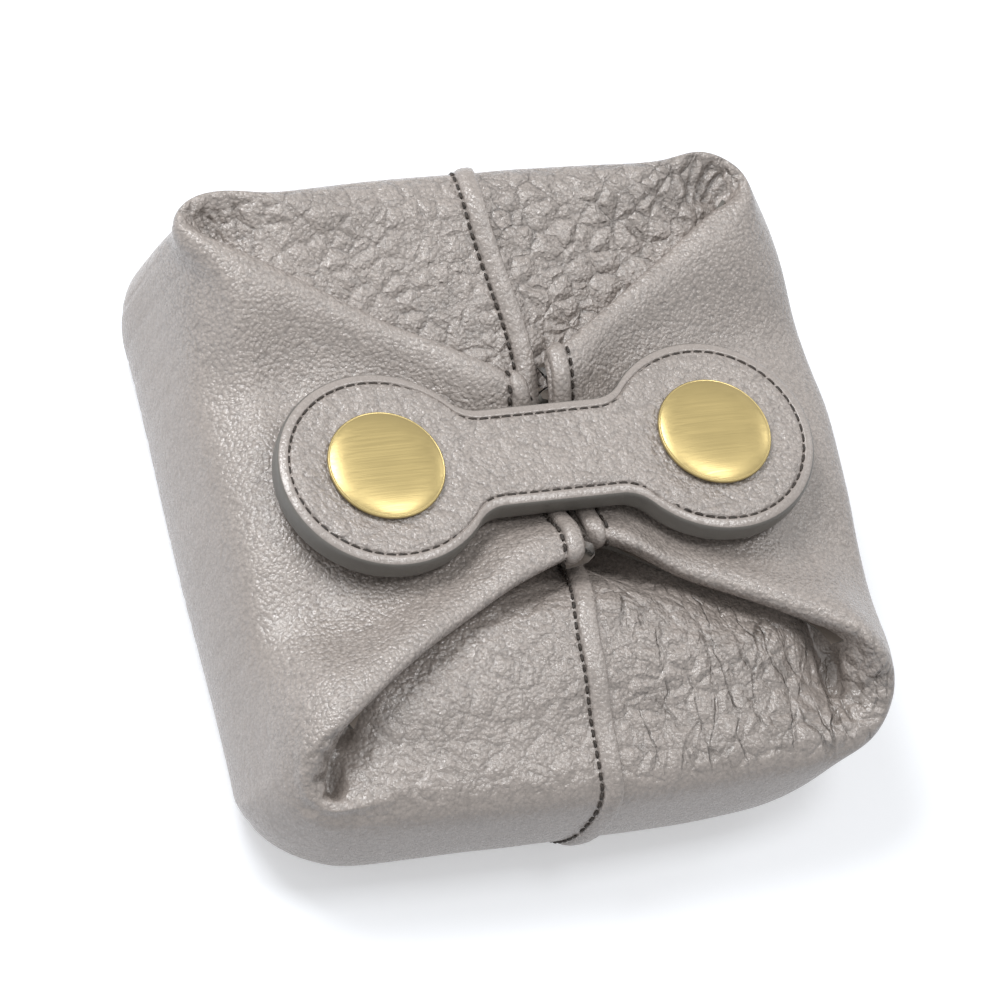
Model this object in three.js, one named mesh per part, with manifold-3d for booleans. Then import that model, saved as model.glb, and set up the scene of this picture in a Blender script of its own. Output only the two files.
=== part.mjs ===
// Leather cosmetic pouch with a folded mouth, closed by a riveted snap strap.
// Millimetres, +Z up, lying on its base, origin at the middle of the base.
// Left is -X, right is +X, the top gusset is at +Y and the bottom gusset at -Y.
import * as THREE from 'three';
import { mergeVertices } from 'three/addons/utils/BufferGeometryUtils.js';
import Module from 'manifold-3d';

// Driving dimensions
const LEATHER = 1.6;            // thickness of one layer of leather
const GAP = 0.3;                // clearance between pieces that touch
const HALF = 39;                // half the width across the rim of the walls
const BULGE_HALF = 42;          // half the width where the soft walls bulge most
const BASE_HALF = 36.5;         // half the width of the flat of the base
const SQUARENESS = 7;           // exponent of the rounded-square plan
const WALL_TOP = 21;            // height of the walls where the flaps start
const FOLD_Z = WALL_TOP + 0.7;  // height where the flaps and gussets start
const SWEEP = 3.4;              // rise of the left and right fold lines towards the corners
const SWEEP_START = 8;          // half the level stretch of those fold lines
const SWEEP_LENGTH = 23;        // length over which they rise
const EAR_RISE = 8;             // rise of the four corners above the level stretch
const EAR_START = 32;           // distance from the middle where the corners rise
const EAR_LENGTH = 3;           // distance over which they rise
const SWEEP_FOOT = 12;          // the walls are level below this height

const FLAP_SHOULDER = 28;       // height of the flaps at their rolled shoulder
const FLAP_DISH = 23;           // height of the flaps under the strap
const FLAP_ROLL = 7;            // radius of the rolled shoulder
const FLAP_FOLD_HALF = 31.2;    // half the length of the fold line
const FLAP_RIM_HALF = 13.5;     // half the length of the stitched rim
const RIM_GAP = 3.2;            // distance between the two flap rims
const DISH_MARGIN = 1;          // the dish is level this far past the strap's outline
const DISH_SLOPE = 7;           // width of the slope round the dish
const EDGE_ROLL = 2.6;          // drop of the flaps' rolled slanting edges
const EDGE_START = 0.82;        // share of half a flap's width where its edge begins to roll
const HEM_WIDTH = 3.4;          // width of the turned hem at a rim
const HEM_EXTRA = 0.8;          // extra thickness of the turned hem

const GUSSET_SHOULDER = 24.6;   // height of the gussets at their shoulder, before their swell
const GUSSET_SWELL = { top: 4.6, bottom: -2 };  // rise of each gusset's shoulder: the top one stands, the bottom one sags
const SWELL_START = 20.5;       // distance from the middle where the swell begins
const SWELL_LENGTH = 11;        // distance over which it grows
const GUSSET_ROLL = 6;          // radius of the gussets' shoulder
const GUSSET_FALL = 0.31;       // fall of the gussets per length towards the middle
const GUSSET_FOLD_HALF = 31.2;
const GUSSET_FLANK = 0.75;      // narrowing of a gusset's flank per length
const GUSSET_RIM_Y = 2.4;       // distance of a gusset's rim from the middle

const SEAM_HALF_GAP = 0.15;     // the two panels meet at x = 0
const LAP_REACH = 1.9;          // how far the left panel laps over the right one
const LAP_ROOT = 2.6;           // where the raised lap starts on the left panel
const LAP_RISE = 1.2;           // thickness of the raised lap
const LAP_BASE_Z = 3;           // the lap ends here, so that the base stays flat

const CAP_RADIUS = 7.5;
const CAP_DOME = 1.2;
const CAP_X = 22;               // the caps sit at plus and minus this distance
const LOBE_RADIUS = 13.7;       // round ends of the strap
const NECK_HALF = 7.1;          // half the width of the strap's neck
const NECK_FILLET = 5;
const STRAP_Z = 23.9;           // underside of the strap
const FACE_THICK = 1.4;
const CORE_THICK = 1.5;
const BACK_THICK = 1.4;
const STRAP_TOP = STRAP_Z + FACE_THICK + CORE_THICK + BACK_THICK;
const BEND_X = -7.5;            // line where the strap bends when it is lifted
const CORE_INSET = 1.2;         // the core stays inside the stitched outline
const STITCH_INSET = 2.8;       // stitch line to the strap's edge
const THREAD = 0.6;             // diameter of the sewing thread

const POST_RADIUS = 1.8;
const POST_HOLE = 2.3;
const SOCKET_RADIUS = 5;
const SOCKET_BORE = 2.9;
const SOCKET_HEIGHT = 2.4;
const STUD_RADIUS = 2.2;
const FLANGE_RADIUS = 4.4;
const FLANGE_THICK = 0.45;
const ROUND_SIDES = 24;

// Materials
const finish = (color, roughness, metalness = 0) => (
  new THREE.MeshStandardMaterial({ color, roughness, metalness })
);
const grainLeather = finish(0xa89f99, 0.55);
const strapLeather = finish(0xb0a8a3, 0.6);
const coreBoard = finish(0x6f6862, 0.8);
const sewingThread = finish(0x3d3835, 0.8);
const satinBrass = finish(0xc2ad72, 0.35, 1);
const springSteel = finish(0xb9bcc0, 0.3, 1);

// Solid joins and cuts
const wasm = await Module();
wasm.setup();

function toSolid(geometry) {
  const bare = geometry.clone();
  for (const name of Object.keys(bare.attributes)) {
    if (name !== 'position') bare.deleteAttribute(name);
  }
  const merged = mergeVertices(bare, 1e-4);
  return new wasm.Manifold(new wasm.Mesh({
    numProp: 3,
    vertProperties: new Float32Array(merged.attributes.position.array),
    triVerts: new Uint32Array(merged.index.array),
  }));
}

function toGeometry(solid) {
  const mesh = solid.getMesh();
  const geometry = new THREE.BufferGeometry();
  geometry.setAttribute('position', new THREE.BufferAttribute(new Float32Array(mesh.vertProperties), 3));
  geometry.setIndex(new THREE.BufferAttribute(new Uint32Array(mesh.triVerts), 1));
  return geometry;
}

function box(x0, x1, y0, y1, z0, z1) {
  const geometry = new THREE.BoxGeometry(x1 - x0, y1 - y0, z1 - z0);
  return toSolid(geometry.translate((x0 + x1) / 2, (y0 + y1) / 2, (z0 + z1) / 2));
}

function cylinder(radius, x, y, z0, z1) {
  const geometry = new THREE.CylinderGeometry(radius, radius, z1 - z0, ROUND_SIDES);
  return toSolid(geometry.rotateX(Math.PI / 2).translate(x, y, (z0 + z1) / 2));
}

// A closed solid from rows of points: faces join each row to the next.
function skin(rows, closedRows, closedColumns) {
  const width = rows[0].length;
  const index = [];
  const rowCount = closedRows ? rows.length : rows.length - 1;
  const columnCount = closedColumns ? width : width - 1;
  for (let i = 0; i < rowCount; i++) {
    for (let j = 0; j < columnCount; j++) {
      const a = i * width + j;
      const b = i * width + (j + 1) % width;
      const c = ((i + 1) % rows.length) * width + (j + 1) % width;
      const d = ((i + 1) % rows.length) * width + j;
      index.push(a, b, c, a, c, d);
    }
  }
  return { points: rows.flat(), index };
}

function bufferFrom(points, index) {
  const geometry = new THREE.BufferGeometry();
  geometry.setAttribute('position', new THREE.Float32BufferAttribute(points.flat(), 3));
  geometry.setIndex(index);
  return geometry;
}

// A sheet of leather: pointAt(u, v) is its grain side, and the flesh side lies thick(u, v) behind it.
function sheet(pointAt, thick, stepsU, stepsV) {
  const eps = 1e-3;
  const outer = [];
  const inner = [];
  for (let i = 0; i <= stepsU; i++) {
    const outerRow = [];
    const innerRow = [];
    for (let j = 0; j <= stepsV; j++) {
      const u = i / stepsU;
      const v = j / stepsV;
      const p = new THREE.Vector3(...pointAt(u, v));
      const du = new THREE.Vector3(...pointAt(u + eps, v)).sub(new THREE.Vector3(...pointAt(u - eps, v)));
      const dv = new THREE.Vector3(...pointAt(u, v + eps)).sub(new THREE.Vector3(...pointAt(u, v - eps)));
      const normal = dv.cross(du).normalize();
      outerRow.push(p.toArray());
      innerRow.push(p.clone().addScaledVector(normal, -thick(u, v)).toArray());
    }
    outer.push(outerRow);
    inner.push(innerRow.reverse());
  }
  const rows = outer.map((row, i) => [...row, ...inner[i]]);
  const { points, index } = skin(rows, false, true);
  const width = rows[0].length;
  const last = (rows.length - 1) * width;
  for (let j = 0; j < stepsV; j++) {
    const a = j;
    const b = j + 1;
    const c = width - 2 - j;
    const d = width - 1 - j;
    index.push(a, c, b, a, d, c);
    index.push(last + a, last + b, last + c, last + a, last + c, last + d);
  }
  return bufferFrom(points, index);
}

const smooth = (t) => {
  const c = Math.min(1, Math.max(0, t));
  return c * c * (3 - 2 * c);
};

// Signed distance from the strap's outline, negative inside it
function strapDistance(x, y) {
  const lobe = Math.hypot(Math.abs(x) - CAP_X, y) - LOBE_RADIUS;
  const neck = Math.max(Math.abs(y) - NECK_HALF, Math.abs(x) - CAP_X);
  return Math.min(lobe, neck);
}

// Body of the pouch: rings of a rounded square, wider where the walls bulge
const HALF_STEPS = [0.18, 0.3, 0.42, 0.54, 0.66, 0.77, 0.83, 0.865, 0.9, 0.95];
const SIDE_STEPS = [-1, ...HALF_STEPS.map((t) => -t).reverse(), ...HALF_STEPS];
const sidePoints = [0, 1, 2, 3].flatMap((side) => SIDE_STEPS.map((t) => {
  const turn = side * Math.PI / 2;
  return [Math.cos(turn) - t * Math.sin(turn), Math.sin(turn) + t * Math.cos(turn)];
}));

// Rise of the rim above its level stretch, at a distance y from the middle of the left or right wall
const foldSweep = (y) => SWEEP * smooth((Math.abs(y) - SWEEP_START) / SWEEP_LENGTH);
const earShare = (distance) => smooth((distance - EAR_START) / EAR_LENGTH);

function rimRise(x, y) {
  const flapSide = Math.abs(x) > Math.abs(y);
  const low = flapSide ? foldSweep(y) : 0;
  return low + (EAR_RISE - low) * earShare(Math.min(Math.abs(x), Math.abs(y)));
}

function ring(half, z) {
  const share = Math.max(0, (z - SWEEP_FOOT) / (WALL_TOP - SWEEP_FOOT));
  return sidePoints.map(([x, y]) => {
    const size = half / (Math.abs(x) ** SQUARENESS + Math.abs(y) ** SQUARENESS) ** (1 / SQUARENESS);
    return [x * size, y * size, z + share * rimRise(x * size, y * size)];
  });
}

const WALL_PROFILE = [
  [BASE_HALF, 0], [BASE_HALF + 2.8, 1], [BULGE_HALF - 1, 3.8], [BULGE_HALF, 8.5],
  [BULGE_HALF - 0.6, 13], [BULGE_HALF - 1.7, 17.2], [HALF, WALL_TOP],
];

// The walls between two offsets from their outer face, open at the top
function wallShell(outside, inside) {
  const outer = WALL_PROFILE.map(([half, z], i) => ring(half + outside, i === 0 ? -outside : z));
  const inner = WALL_PROFILE.map(([half, z], i) => ring(half + inside, i < 2 ? Math.max(z, -inside) : z));
  const rows = [...outer, ...inner.reverse()];
  const { points, index } = skin(rows, false, true);
  const width = sidePoints.length;
  const bottom = points.push([0, 0, rows[0][0][2]]) - 1;
  const floor = points.push([0, 0, rows[rows.length - 1][0][2]]) - 1;
  const lastRow = (rows.length - 1) * width;
  for (let j = 0; j < width; j++) {
    const next = (j + 1) % width;
    index.push(bottom, next, j);
    index.push(floor, lastRow + j, lastRow + next);
  }
  return toSolid(bufferFrom(points, index));
}

const FAR = 80;
const walls = wallShell(0, -LEATHER);
const lapSkin = wallShell(GAP + LAP_RISE, GAP);
const lapFoot = wallShell(GAP + LAP_RISE, -LEATHER / 2);
const lapHeights = (x0, x1) => box(x0, x1, -FAR, FAR, LAP_BASE_Z, WALL_TOP - GAP);
const leftPanel = walls.intersect(box(-FAR, -SEAM_HALF_GAP, -FAR, FAR, -1, FAR))
  .add(lapSkin.intersect(lapHeights(-LAP_ROOT, LAP_REACH)))
  .add(lapFoot.intersect(lapHeights(-LAP_ROOT, -SEAM_HALF_GAP)));
const rightPanel = walls.intersect(box(SEAM_HALF_GAP, FAR, -FAR, FAR, -1, FAR));

// Flaps: up from the wall, over a rolled shoulder, down into the dish under the strap, out to the hem
const FLAP_RIM_X = RIM_GAP / 2;
const ARC_SHARE = 0.3;          // share of the sheet's length that climbs over the shoulder
const flapHalfAt = (x) => {
  const share = (HALF - x) / (HALF - FLAP_RIM_X);
  return FLAP_FOLD_HALF + (FLAP_RIM_HALF - FLAP_FOLD_HALF) * share;
};

function flapFace(x, y) {
  const dished = 1 - smooth((strapDistance(x, y) - DISH_MARGIN) / DISH_SLOPE);
  return FLAP_SHOULDER - (FLAP_SHOULDER - FLAP_DISH) * dished;
}

// Right flap at (u, v): u runs from the wall to the rim, v from the bottom edge to the top edge
function flapPoint(u, v) {
  const side = 2 * v - 1;
  const edge = Math.min(1, Math.max(0, (Math.abs(side) - EDGE_START) / (1 - EDGE_START)));
  const rolled = EDGE_ROLL * (1 - Math.sqrt(1 - edge ** 2));
  if (u < ARC_SHARE) {
    const turn = (u / ARC_SHARE) * Math.PI / 2;
    const inner = HALF - FLAP_ROLL;
    const x = inner + FLAP_ROLL * Math.cos(turn);
    const y = side * flapHalfAt(x);
    const foldZ = FOLD_Z + foldSweep(y);
    const top = flapFace(inner, side * flapHalfAt(inner));
    return [x, y, foldZ + (top - foldZ) * Math.sin(turn) - rolled * Math.sin(turn)];
  }
  const along = (u - ARC_SHARE) / (1 - ARC_SHARE);
  const x = HALF - FLAP_ROLL - along * (HALF - FLAP_ROLL - FLAP_RIM_X);
  const y = side * flapHalfAt(x);
  return [x, y, flapFace(x, y) - rolled];
}

// Thinned where it bends over the wall, double where the hem is turned
function flapThickness(u) {
  const hem = 1 - HEM_WIDTH / (HALF - FLAP_ROLL - FLAP_RIM_X) * (1 - ARC_SHARE);
  const skived = LEATHER / 2 * (1 - smooth(u / ARC_SHARE));
  return LEATHER - skived + (u > hem ? HEM_EXTRA : 0);
}

const flapHole = cylinder(POST_HOLE, CAP_X, 0, 0, FAR);
const rightFlap = toSolid(sheet((u, v) => flapPoint(u, v), flapThickness, 18, 14)).subtract(flapHole);
const mirrored = (geometry, x, y) => {
  const copy = geometry.clone().scale(x, y, 1);
  const order = copy.index.array;
  if (x * y < 0) {
    for (let i = 0; i < order.length; i += 3) [order[i], order[i + 1]] = [order[i + 1], order[i]];
  }
  return copy;
};
const rightFlapGeometry = toGeometry(rightFlap);

// Gussets: over a lower shoulder, then sloping in under the flaps; each is two halves with a lapped seam
const GUSSET_LENGTH = HALF - GUSSET_ROLL - GUSSET_RIM_Y;
const gussetHalfAt = (y) => GUSSET_FOLD_HALF - GUSSET_FLANK * (HALF - y);

// Grain side of a gusset at (u, x share), turned to +Y: u runs from the wall to the rim
function gussetPoint(u, share, swell) {
  if (u < ARC_SHARE) {
    const turn = (u / ARC_SHARE) * Math.PI / 2;
    const y = HALF - GUSSET_ROLL + GUSSET_ROLL * Math.cos(turn);
    return [share * gussetHalfAt(y), y, FOLD_Z + (GUSSET_SHOULDER + swell - FOLD_Z) * Math.sin(turn)];
  }
  const along = (u - ARC_SHARE) / (1 - ARC_SHARE);
  const y = HALF - GUSSET_ROLL - along * GUSSET_LENGTH;
  const swollen = swell * smooth((y - SWELL_START) / SWELL_LENGTH);
  return [share * gussetHalfAt(y), y, GUSSET_SHOULDER - GUSSET_FALL * along * GUSSET_LENGTH + swollen];
}

const gussetHem = 1 - HEM_WIDTH / GUSSET_LENGTH * (1 - ARC_SHARE);
const GUSSET_SKIVE = 0.75;      // share of the leather pared away where a gusset bends over the wall
const gussetThickness = (u) => {
  const skived = GUSSET_SKIVE * LEATHER * (1 - smooth(u / ARC_SHARE));
  return LEATHER - skived + (u > gussetHem ? HEM_EXTRA : 0);
};
const slab = (x0, x1, y0 = -FAR, y1 = FAR) => box(x0, x1, y0, y1, -FAR, FAR);
const LAP_FRONT_Y = HALF - 2.5;
const GUSSET_STEPS = [18, 8];   // faces along and across a gusset
const SLOPE_STEP = 0.01;        // step of u over which a gusset's slope is taken

// The two halves of a gusset; the left one carries the lap, on the bottom gusset too, which is turned over the X axis
function gussetHalves(swell) {
  const raised = (rise) => (u, v) => {
    const [x, y, z] = gussetPoint(u, 1 - 2 * v, swell);
    const [, y0, z0] = gussetPoint(u - SLOPE_STEP, 0, swell);
    const [, y1, z1] = gussetPoint(u + SLOPE_STEP, 0, swell);
    const run = Math.hypot(y1 - y0, z1 - z0);
    return [x, y + rise * (z1 - z0) / run, z + rise * (y0 - y1) / run];
  };
  const whole = toSolid(sheet(raised(0), gussetThickness, ...GUSSET_STEPS));
  const lapSkin = toSolid(sheet(raised(GAP + LAP_RISE), () => LAP_RISE, ...GUSSET_STEPS));
  const lapFoot = toSolid(sheet(raised(GAP + LAP_RISE), () => LAP_RISE + GAP + LEATHER / 2, ...GUSSET_STEPS));
  const left = whole.intersect(slab(-FAR, -SEAM_HALF_GAP))
    .add(lapSkin.intersect(slab(-LAP_ROOT, LAP_REACH, GUSSET_RIM_Y, LAP_FRONT_Y)))
    .add(lapFoot.intersect(slab(-LAP_ROOT, -SEAM_HALF_GAP, GUSSET_RIM_Y, LAP_FRONT_Y)));
  return { left: toGeometry(left), right: toGeometry(whole.intersect(slab(SEAM_HALF_GAP, FAR))) };
}

// A flat triangle of leather
function patch(corners, thick) {
  const [a, b, c] = corners.map((p) => new THREE.Vector3(...p));
  const normal = b.clone().sub(a).cross(c.clone().sub(a)).normalize().multiplyScalar(thick / 2);
  const top = [a, b, c].map((p) => p.clone().add(normal).toArray());
  const low = [a, b, c].map((p) => p.clone().sub(normal).toArray());
  const index = [0, 1, 2, 3, 5, 4];
  for (let i = 0; i < 3; i++) {
    const j = (i + 1) % 3;
    index.push(i, 3 + i, 3 + j, i, 3 + j, j);
  }
  return bufferFrom([...top, ...low], index);
}

const PATCH_THICK = 0.9;
// Under the top right flap edge: from the corner, along the wall, to the rim's end
const foldGeometry = patch([[34, 30.5, 22.6], [3.6, 12, 20.1], [34.6, 4.4, 18.6]], PATCH_THICK);
// Beside the top gusset's right flank, under the corner fold
const gussetCornerGeometry = patch([[32.2, 32, 19.8], [7.6, 4, 15.4], [34.4, 4, 14]], PATCH_THICK);

// Strap outline: two round lobes and a neck with filleted sides
function strapShape(inset) {
  const lobe = LOBE_RADIUS - inset;
  const neck = NECK_HALF - inset;
  const fillet = NECK_FILLET + inset;
  const reach = Math.sqrt((lobe + fillet) ** 2 - (neck + fillet) ** 2);
  const filletX = CAP_X - reach;
  const turn = Math.atan2(neck + fillet, reach);
  const shape = new THREE.Shape();
  shape.absarc(CAP_X, 0, lobe, -Math.PI + turn, Math.PI - turn, false);
  shape.absarc(filletX, neck + fillet, fillet, -turn, -Math.PI / 2, true);
  shape.absarc(-filletX, neck + fillet, fillet, -Math.PI / 2, -Math.PI + turn, true);
  shape.absarc(-CAP_X, 0, lobe, turn, 2 * Math.PI - turn, false);
  shape.absarc(-filletX, -neck - fillet, fillet, Math.PI - turn, Math.PI / 2, true);
  shape.absarc(filletX, -neck - fillet, fillet, Math.PI / 2, turn, true);
  return shape;
}

function strapLayer(inset, z0, z1) {
  const options = { depth: z1 - z0, bevelEnabled: false, curveSegments: 8 };
  return toSolid(new THREE.ExtrudeGeometry(strapShape(inset), options).translate(0, 0, z0));
}

const anchorSide = slab(-FAR, BEND_X - SEAM_HALF_GAP);
const tongueSide = slab(BEND_X + SEAM_HALF_GAP, FAR);
const backTop = STRAP_Z + BACK_THICK;
const coreTop = backTop + CORE_THICK;
const LAYER_GAP = 0.1;
const capHoles = cylinder(POST_HOLE, CAP_X, 0, 0, FAR).add(cylinder(POST_HOLE, -CAP_X, 0, 0, FAR));
const socketRoom = cylinder(SOCKET_RADIUS + GAP, CAP_X, 0, 0, STRAP_Z + SOCKET_HEIGHT + GAP);
const strapFace = strapLayer(0, coreTop + LAYER_GAP, STRAP_TOP).subtract(capHoles);
const strapCore = strapLayer(CORE_INSET, backTop + LAYER_GAP, coreTop).subtract(capHoles).subtract(socketRoom);
const strapBack = strapLayer(0, STRAP_Z, backTop).subtract(capHoles).subtract(socketRoom);

// Round metal pieces: profiles of radius and height, turned about the cap's axis
function turned(profile, x) {
  const outline = profile.map(([r, z]) => new THREE.Vector2(r, z));
  const geometry = new THREE.LatheGeometry(outline, ROUND_SIDES);
  return geometry.rotateX(Math.PI / 2).translate(x, 0, 0);
}

const capSeat = STRAP_TOP + 0.15;
const capPost = (footZ) => [
  [0, footZ], [POST_RADIUS, footZ], [POST_RADIUS, capSeat],
  [CAP_RADIUS - 0.4, capSeat], [CAP_RADIUS, capSeat + 0.35], [CAP_RADIUS - 0.5, capSeat + CAP_DOME - 0.3],
  [CAP_RADIUS - 1.6, capSeat + CAP_DOME - 0.05], [0, capSeat + CAP_DOME],
];
const flapUnder = FLAP_DISH - LEATHER;
const backPlateTop = flapUnder - GAP / 2;
const backPlate = [
  [POST_RADIUS + GAP, backPlateTop - 0.7], [FLANGE_RADIUS, backPlateTop - 0.7],
  [FLANGE_RADIUS, backPlateTop - FLANGE_THICK + 0.2], [FLANGE_RADIUS - 0.3, backPlateTop],
  [POST_RADIUS + GAP, backPlateTop], [POST_RADIUS + GAP, backPlateTop - 0.7],
];
const socketTop = STRAP_Z + SOCKET_HEIGHT;
const socketRing = [
  [SOCKET_BORE, STRAP_Z - 0.1], [SOCKET_RADIUS - 0.4, STRAP_Z - 0.1], [SOCKET_RADIUS, STRAP_Z + 0.3],
  [SOCKET_RADIUS, socketTop], [POST_RADIUS + GAP, socketTop], [POST_RADIUS + GAP, socketTop - 0.5],
  [SOCKET_RADIUS - 0.8, socketTop - 0.5], [SOCKET_RADIUS - 0.8, STRAP_Z + 0.5], [SOCKET_BORE, STRAP_Z + 0.5],
  [SOCKET_BORE, STRAP_Z - 0.1],
];
const studSeat = FLAP_DISH + 0.15;
const studHeadTop = STRAP_Z + 1.15;
const stud = [
  [0, studSeat], [FLANGE_RADIUS, studSeat], [FLANGE_RADIUS, studSeat + FLANGE_THICK],
  [STUD_RADIUS - 0.3, studSeat + FLANGE_THICK], [STUD_RADIUS - 0.3, STRAP_Z + 0.3],
  [STUD_RADIUS, STRAP_Z + 0.7], [STUD_RADIUS - 0.4, studHeadTop], [0, studHeadTop],
];
const studPost = [
  [0, backPlateTop - 0.7], [FLANGE_RADIUS, backPlateTop - 0.7], [FLANGE_RADIUS, backPlateTop - 0.25],
  [POST_RADIUS, backPlateTop], [POST_RADIUS, studSeat - 0.15], [0, studSeat - 0.15],
];

// The split ring that grips the stud, inside the socket
function springRing() {
  const radius = SOCKET_BORE + 0.45;
  const split = 0.35;
  const path = new THREE.CatmullRomCurve3(Array.from({ length: 25 }, (_, i) => {
    const turn = split + (2 * Math.PI - 2 * split) * i / 24;
    return new THREE.Vector3(CAP_X + radius * Math.cos(turn), radius * Math.sin(turn), STRAP_Z + 1.15);
  }));
  return tube(path, 0.25, 6, 30);
}

// Sewing thread and wire: a round section carried along a curve
function tube(path, radius, sides, steps) {
  const section = new THREE.Shape();
  for (let i = 0; i < sides; i++) {
    const turn = 2 * Math.PI * i / sides;
    section[i ? 'lineTo' : 'moveTo'](radius * Math.cos(turn), radius * Math.sin(turn));
  }
  return new THREE.ExtrudeGeometry(section, { steps, bevelEnabled: false, extrudePath: path });
}

const threadPath = (points) => new THREE.CatmullRomCurve3(points.map((p) => new THREE.Vector3(...p)));
const THREAD_LIFT = GAP + THREAD / 2;
const THREAD_SIDES = 5;

// Seam thread on the left panel beside the lap, up the top wall
const wallThreadX = -LAP_ROOT - 0.7;
const wallThread = tube(threadPath(WALL_PROFILE.slice(2).map(([half, z], i, all) => (
  [wallThreadX, half + THREAD_LIFT + 0.1, i === all.length - 1 ? z - 0.8 : z]
))), THREAD / 2, THREAD_SIDES, 14);
const gussetThread = (swell) => tube(threadPath([0.2, 0.3, 0.38, 0.46, 0.54, 0.62, 0.7, 0.85, 0.96].map((u) => {
  const [, y, z] = gussetPoint(u, 0, swell);
  return [wallThreadX, y, z + THREAD_LIFT + 0.25];
})), THREAD / 2, THREAD_SIDES, 24);

// Hem thread along the right flap's rim
const hemX = FLAP_RIM_X + HEM_WIDTH - 0.4;
const hemThread = tube(threadPath([-0.82, -0.6, -0.42, 0, 0.42, 0.6, 0.82].map((share) => {
  const y = share * flapHalfAt(hemX);
  const lift = Math.abs(share) < 0.5 ? (STRAP_Z - FLAP_DISH) / 2 : THREAD_LIFT + 0.35;
  return [hemX, y, flapFace(hemX, y) + lift];
})), THREAD / 2, THREAD_SIDES, 20);

// Strap thread, a little inside the edge, on the two sides of the bend
const stitchLine = strapShape(STITCH_INSET).getSpacedPoints(150).slice(0, 150);
const stitchZ = STRAP_TOP + THREAD_LIFT;
function stitchRun(keep, from) {
  const order = [...stitchLine.slice(from), ...stitchLine.slice(0, from)];
  return threadPath(order.filter(keep).map((p) => [p.x, p.y, stitchZ]));
}
const startTop = stitchLine.findIndex((p) => p.y > 0 && p.x < BEND_X);
const startLow = stitchLine.findIndex((p) => p.y < 0 && p.x > BEND_X && p.x < 0);
const anchorThread = tube(stitchRun((p) => p.x < BEND_X - 1, startTop), THREAD / 2, THREAD_SIDES, 36);
const tongueThread = tube(stitchRun((p) => p.x > BEND_X + 1, startLow), THREAD / 2, THREAD_SIDES, 48);

// The assembly
const pouch = new THREE.Group();
function piece(name, geometry, material) {
  const mesh = new THREE.Mesh(geometry, material);
  mesh.name = name;
  pouch.add(mesh);
}

piece('left_panel', toGeometry(leftPanel), grainLeather);
piece('right_panel', toGeometry(rightPanel), grainLeather);
piece('right_flap_leather', rightFlapGeometry, grainLeather);
piece('left_flap_leather', mirrored(rightFlapGeometry, -1, 1), grainLeather);
piece('right_hem_thread', hemThread, sewingThread);
piece('left_hem_thread', mirrored(mergeVertices(hemThread), -1, 1), sewingThread);

for (const [end, y] of [['top', 1], ['bottom', -1]]) {
  const halves = gussetHalves(GUSSET_SWELL[end]);
  piece(`${end}_gusset_left`, mirrored(halves.left, 1, y), grainLeather);
  piece(`${end}_gusset_right`, mirrored(halves.right, 1, y), grainLeather);
  piece(`${end}_gusset_thread`, mirrored(mergeVertices(gussetThread(GUSSET_SWELL[end])), 1, y), sewingThread);
  piece(`${end}_wall_thread`, mirrored(mergeVertices(wallThread), 1, y), sewingThread);
  for (const [side, x] of [['left', -1], ['right', 1]]) {
    piece(`${end}_${side}_fold`, mirrored(foldGeometry, x, y), grainLeather);
    piece(`${end}_${side}_gusset_corner`, mirrored(gussetCornerGeometry, x, y), grainLeather);
  }
}

piece('strap_face_anchor', toGeometry(strapFace.intersect(anchorSide)), strapLeather);
piece('strap_core_anchor', toGeometry(strapCore.intersect(anchorSide)), coreBoard);
piece('strap_back_anchor', toGeometry(strapBack.intersect(anchorSide)), strapLeather);
piece('strap_face_tongue', toGeometry(strapFace.intersect(tongueSide)), strapLeather);
piece('strap_core_tongue', toGeometry(strapCore.intersect(tongueSide)), coreBoard);
piece('strap_back_tongue', toGeometry(strapBack.intersect(tongueSide)), strapLeather);
piece('strap_thread_anchor', anchorThread, sewingThread);
piece('strap_thread_tongue', tongueThread, sewingThread);

piece('left_cap', turned(capPost(backPlateTop - 0.7), -CAP_X), satinBrass);
piece('left_rivet_back', turned(backPlate, -CAP_X), satinBrass);
piece('right_cap', turned(capPost(socketTop - 0.3), CAP_X), satinBrass);
piece('snap_socket', turned(socketRing, CAP_X), satinBrass);
piece('socket_spring', springRing(), springSteel);
piece('snap_stud', turned(stud, CAP_X), satinBrass);
piece('stud_post', turned(studPost, CAP_X), satinBrass);

export default pouch;
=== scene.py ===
import math

import bpy
import numpy as np
from bpy.props import FloatProperty, FloatVectorProperty, PointerProperty
from mathutils import Matrix, Vector


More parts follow.
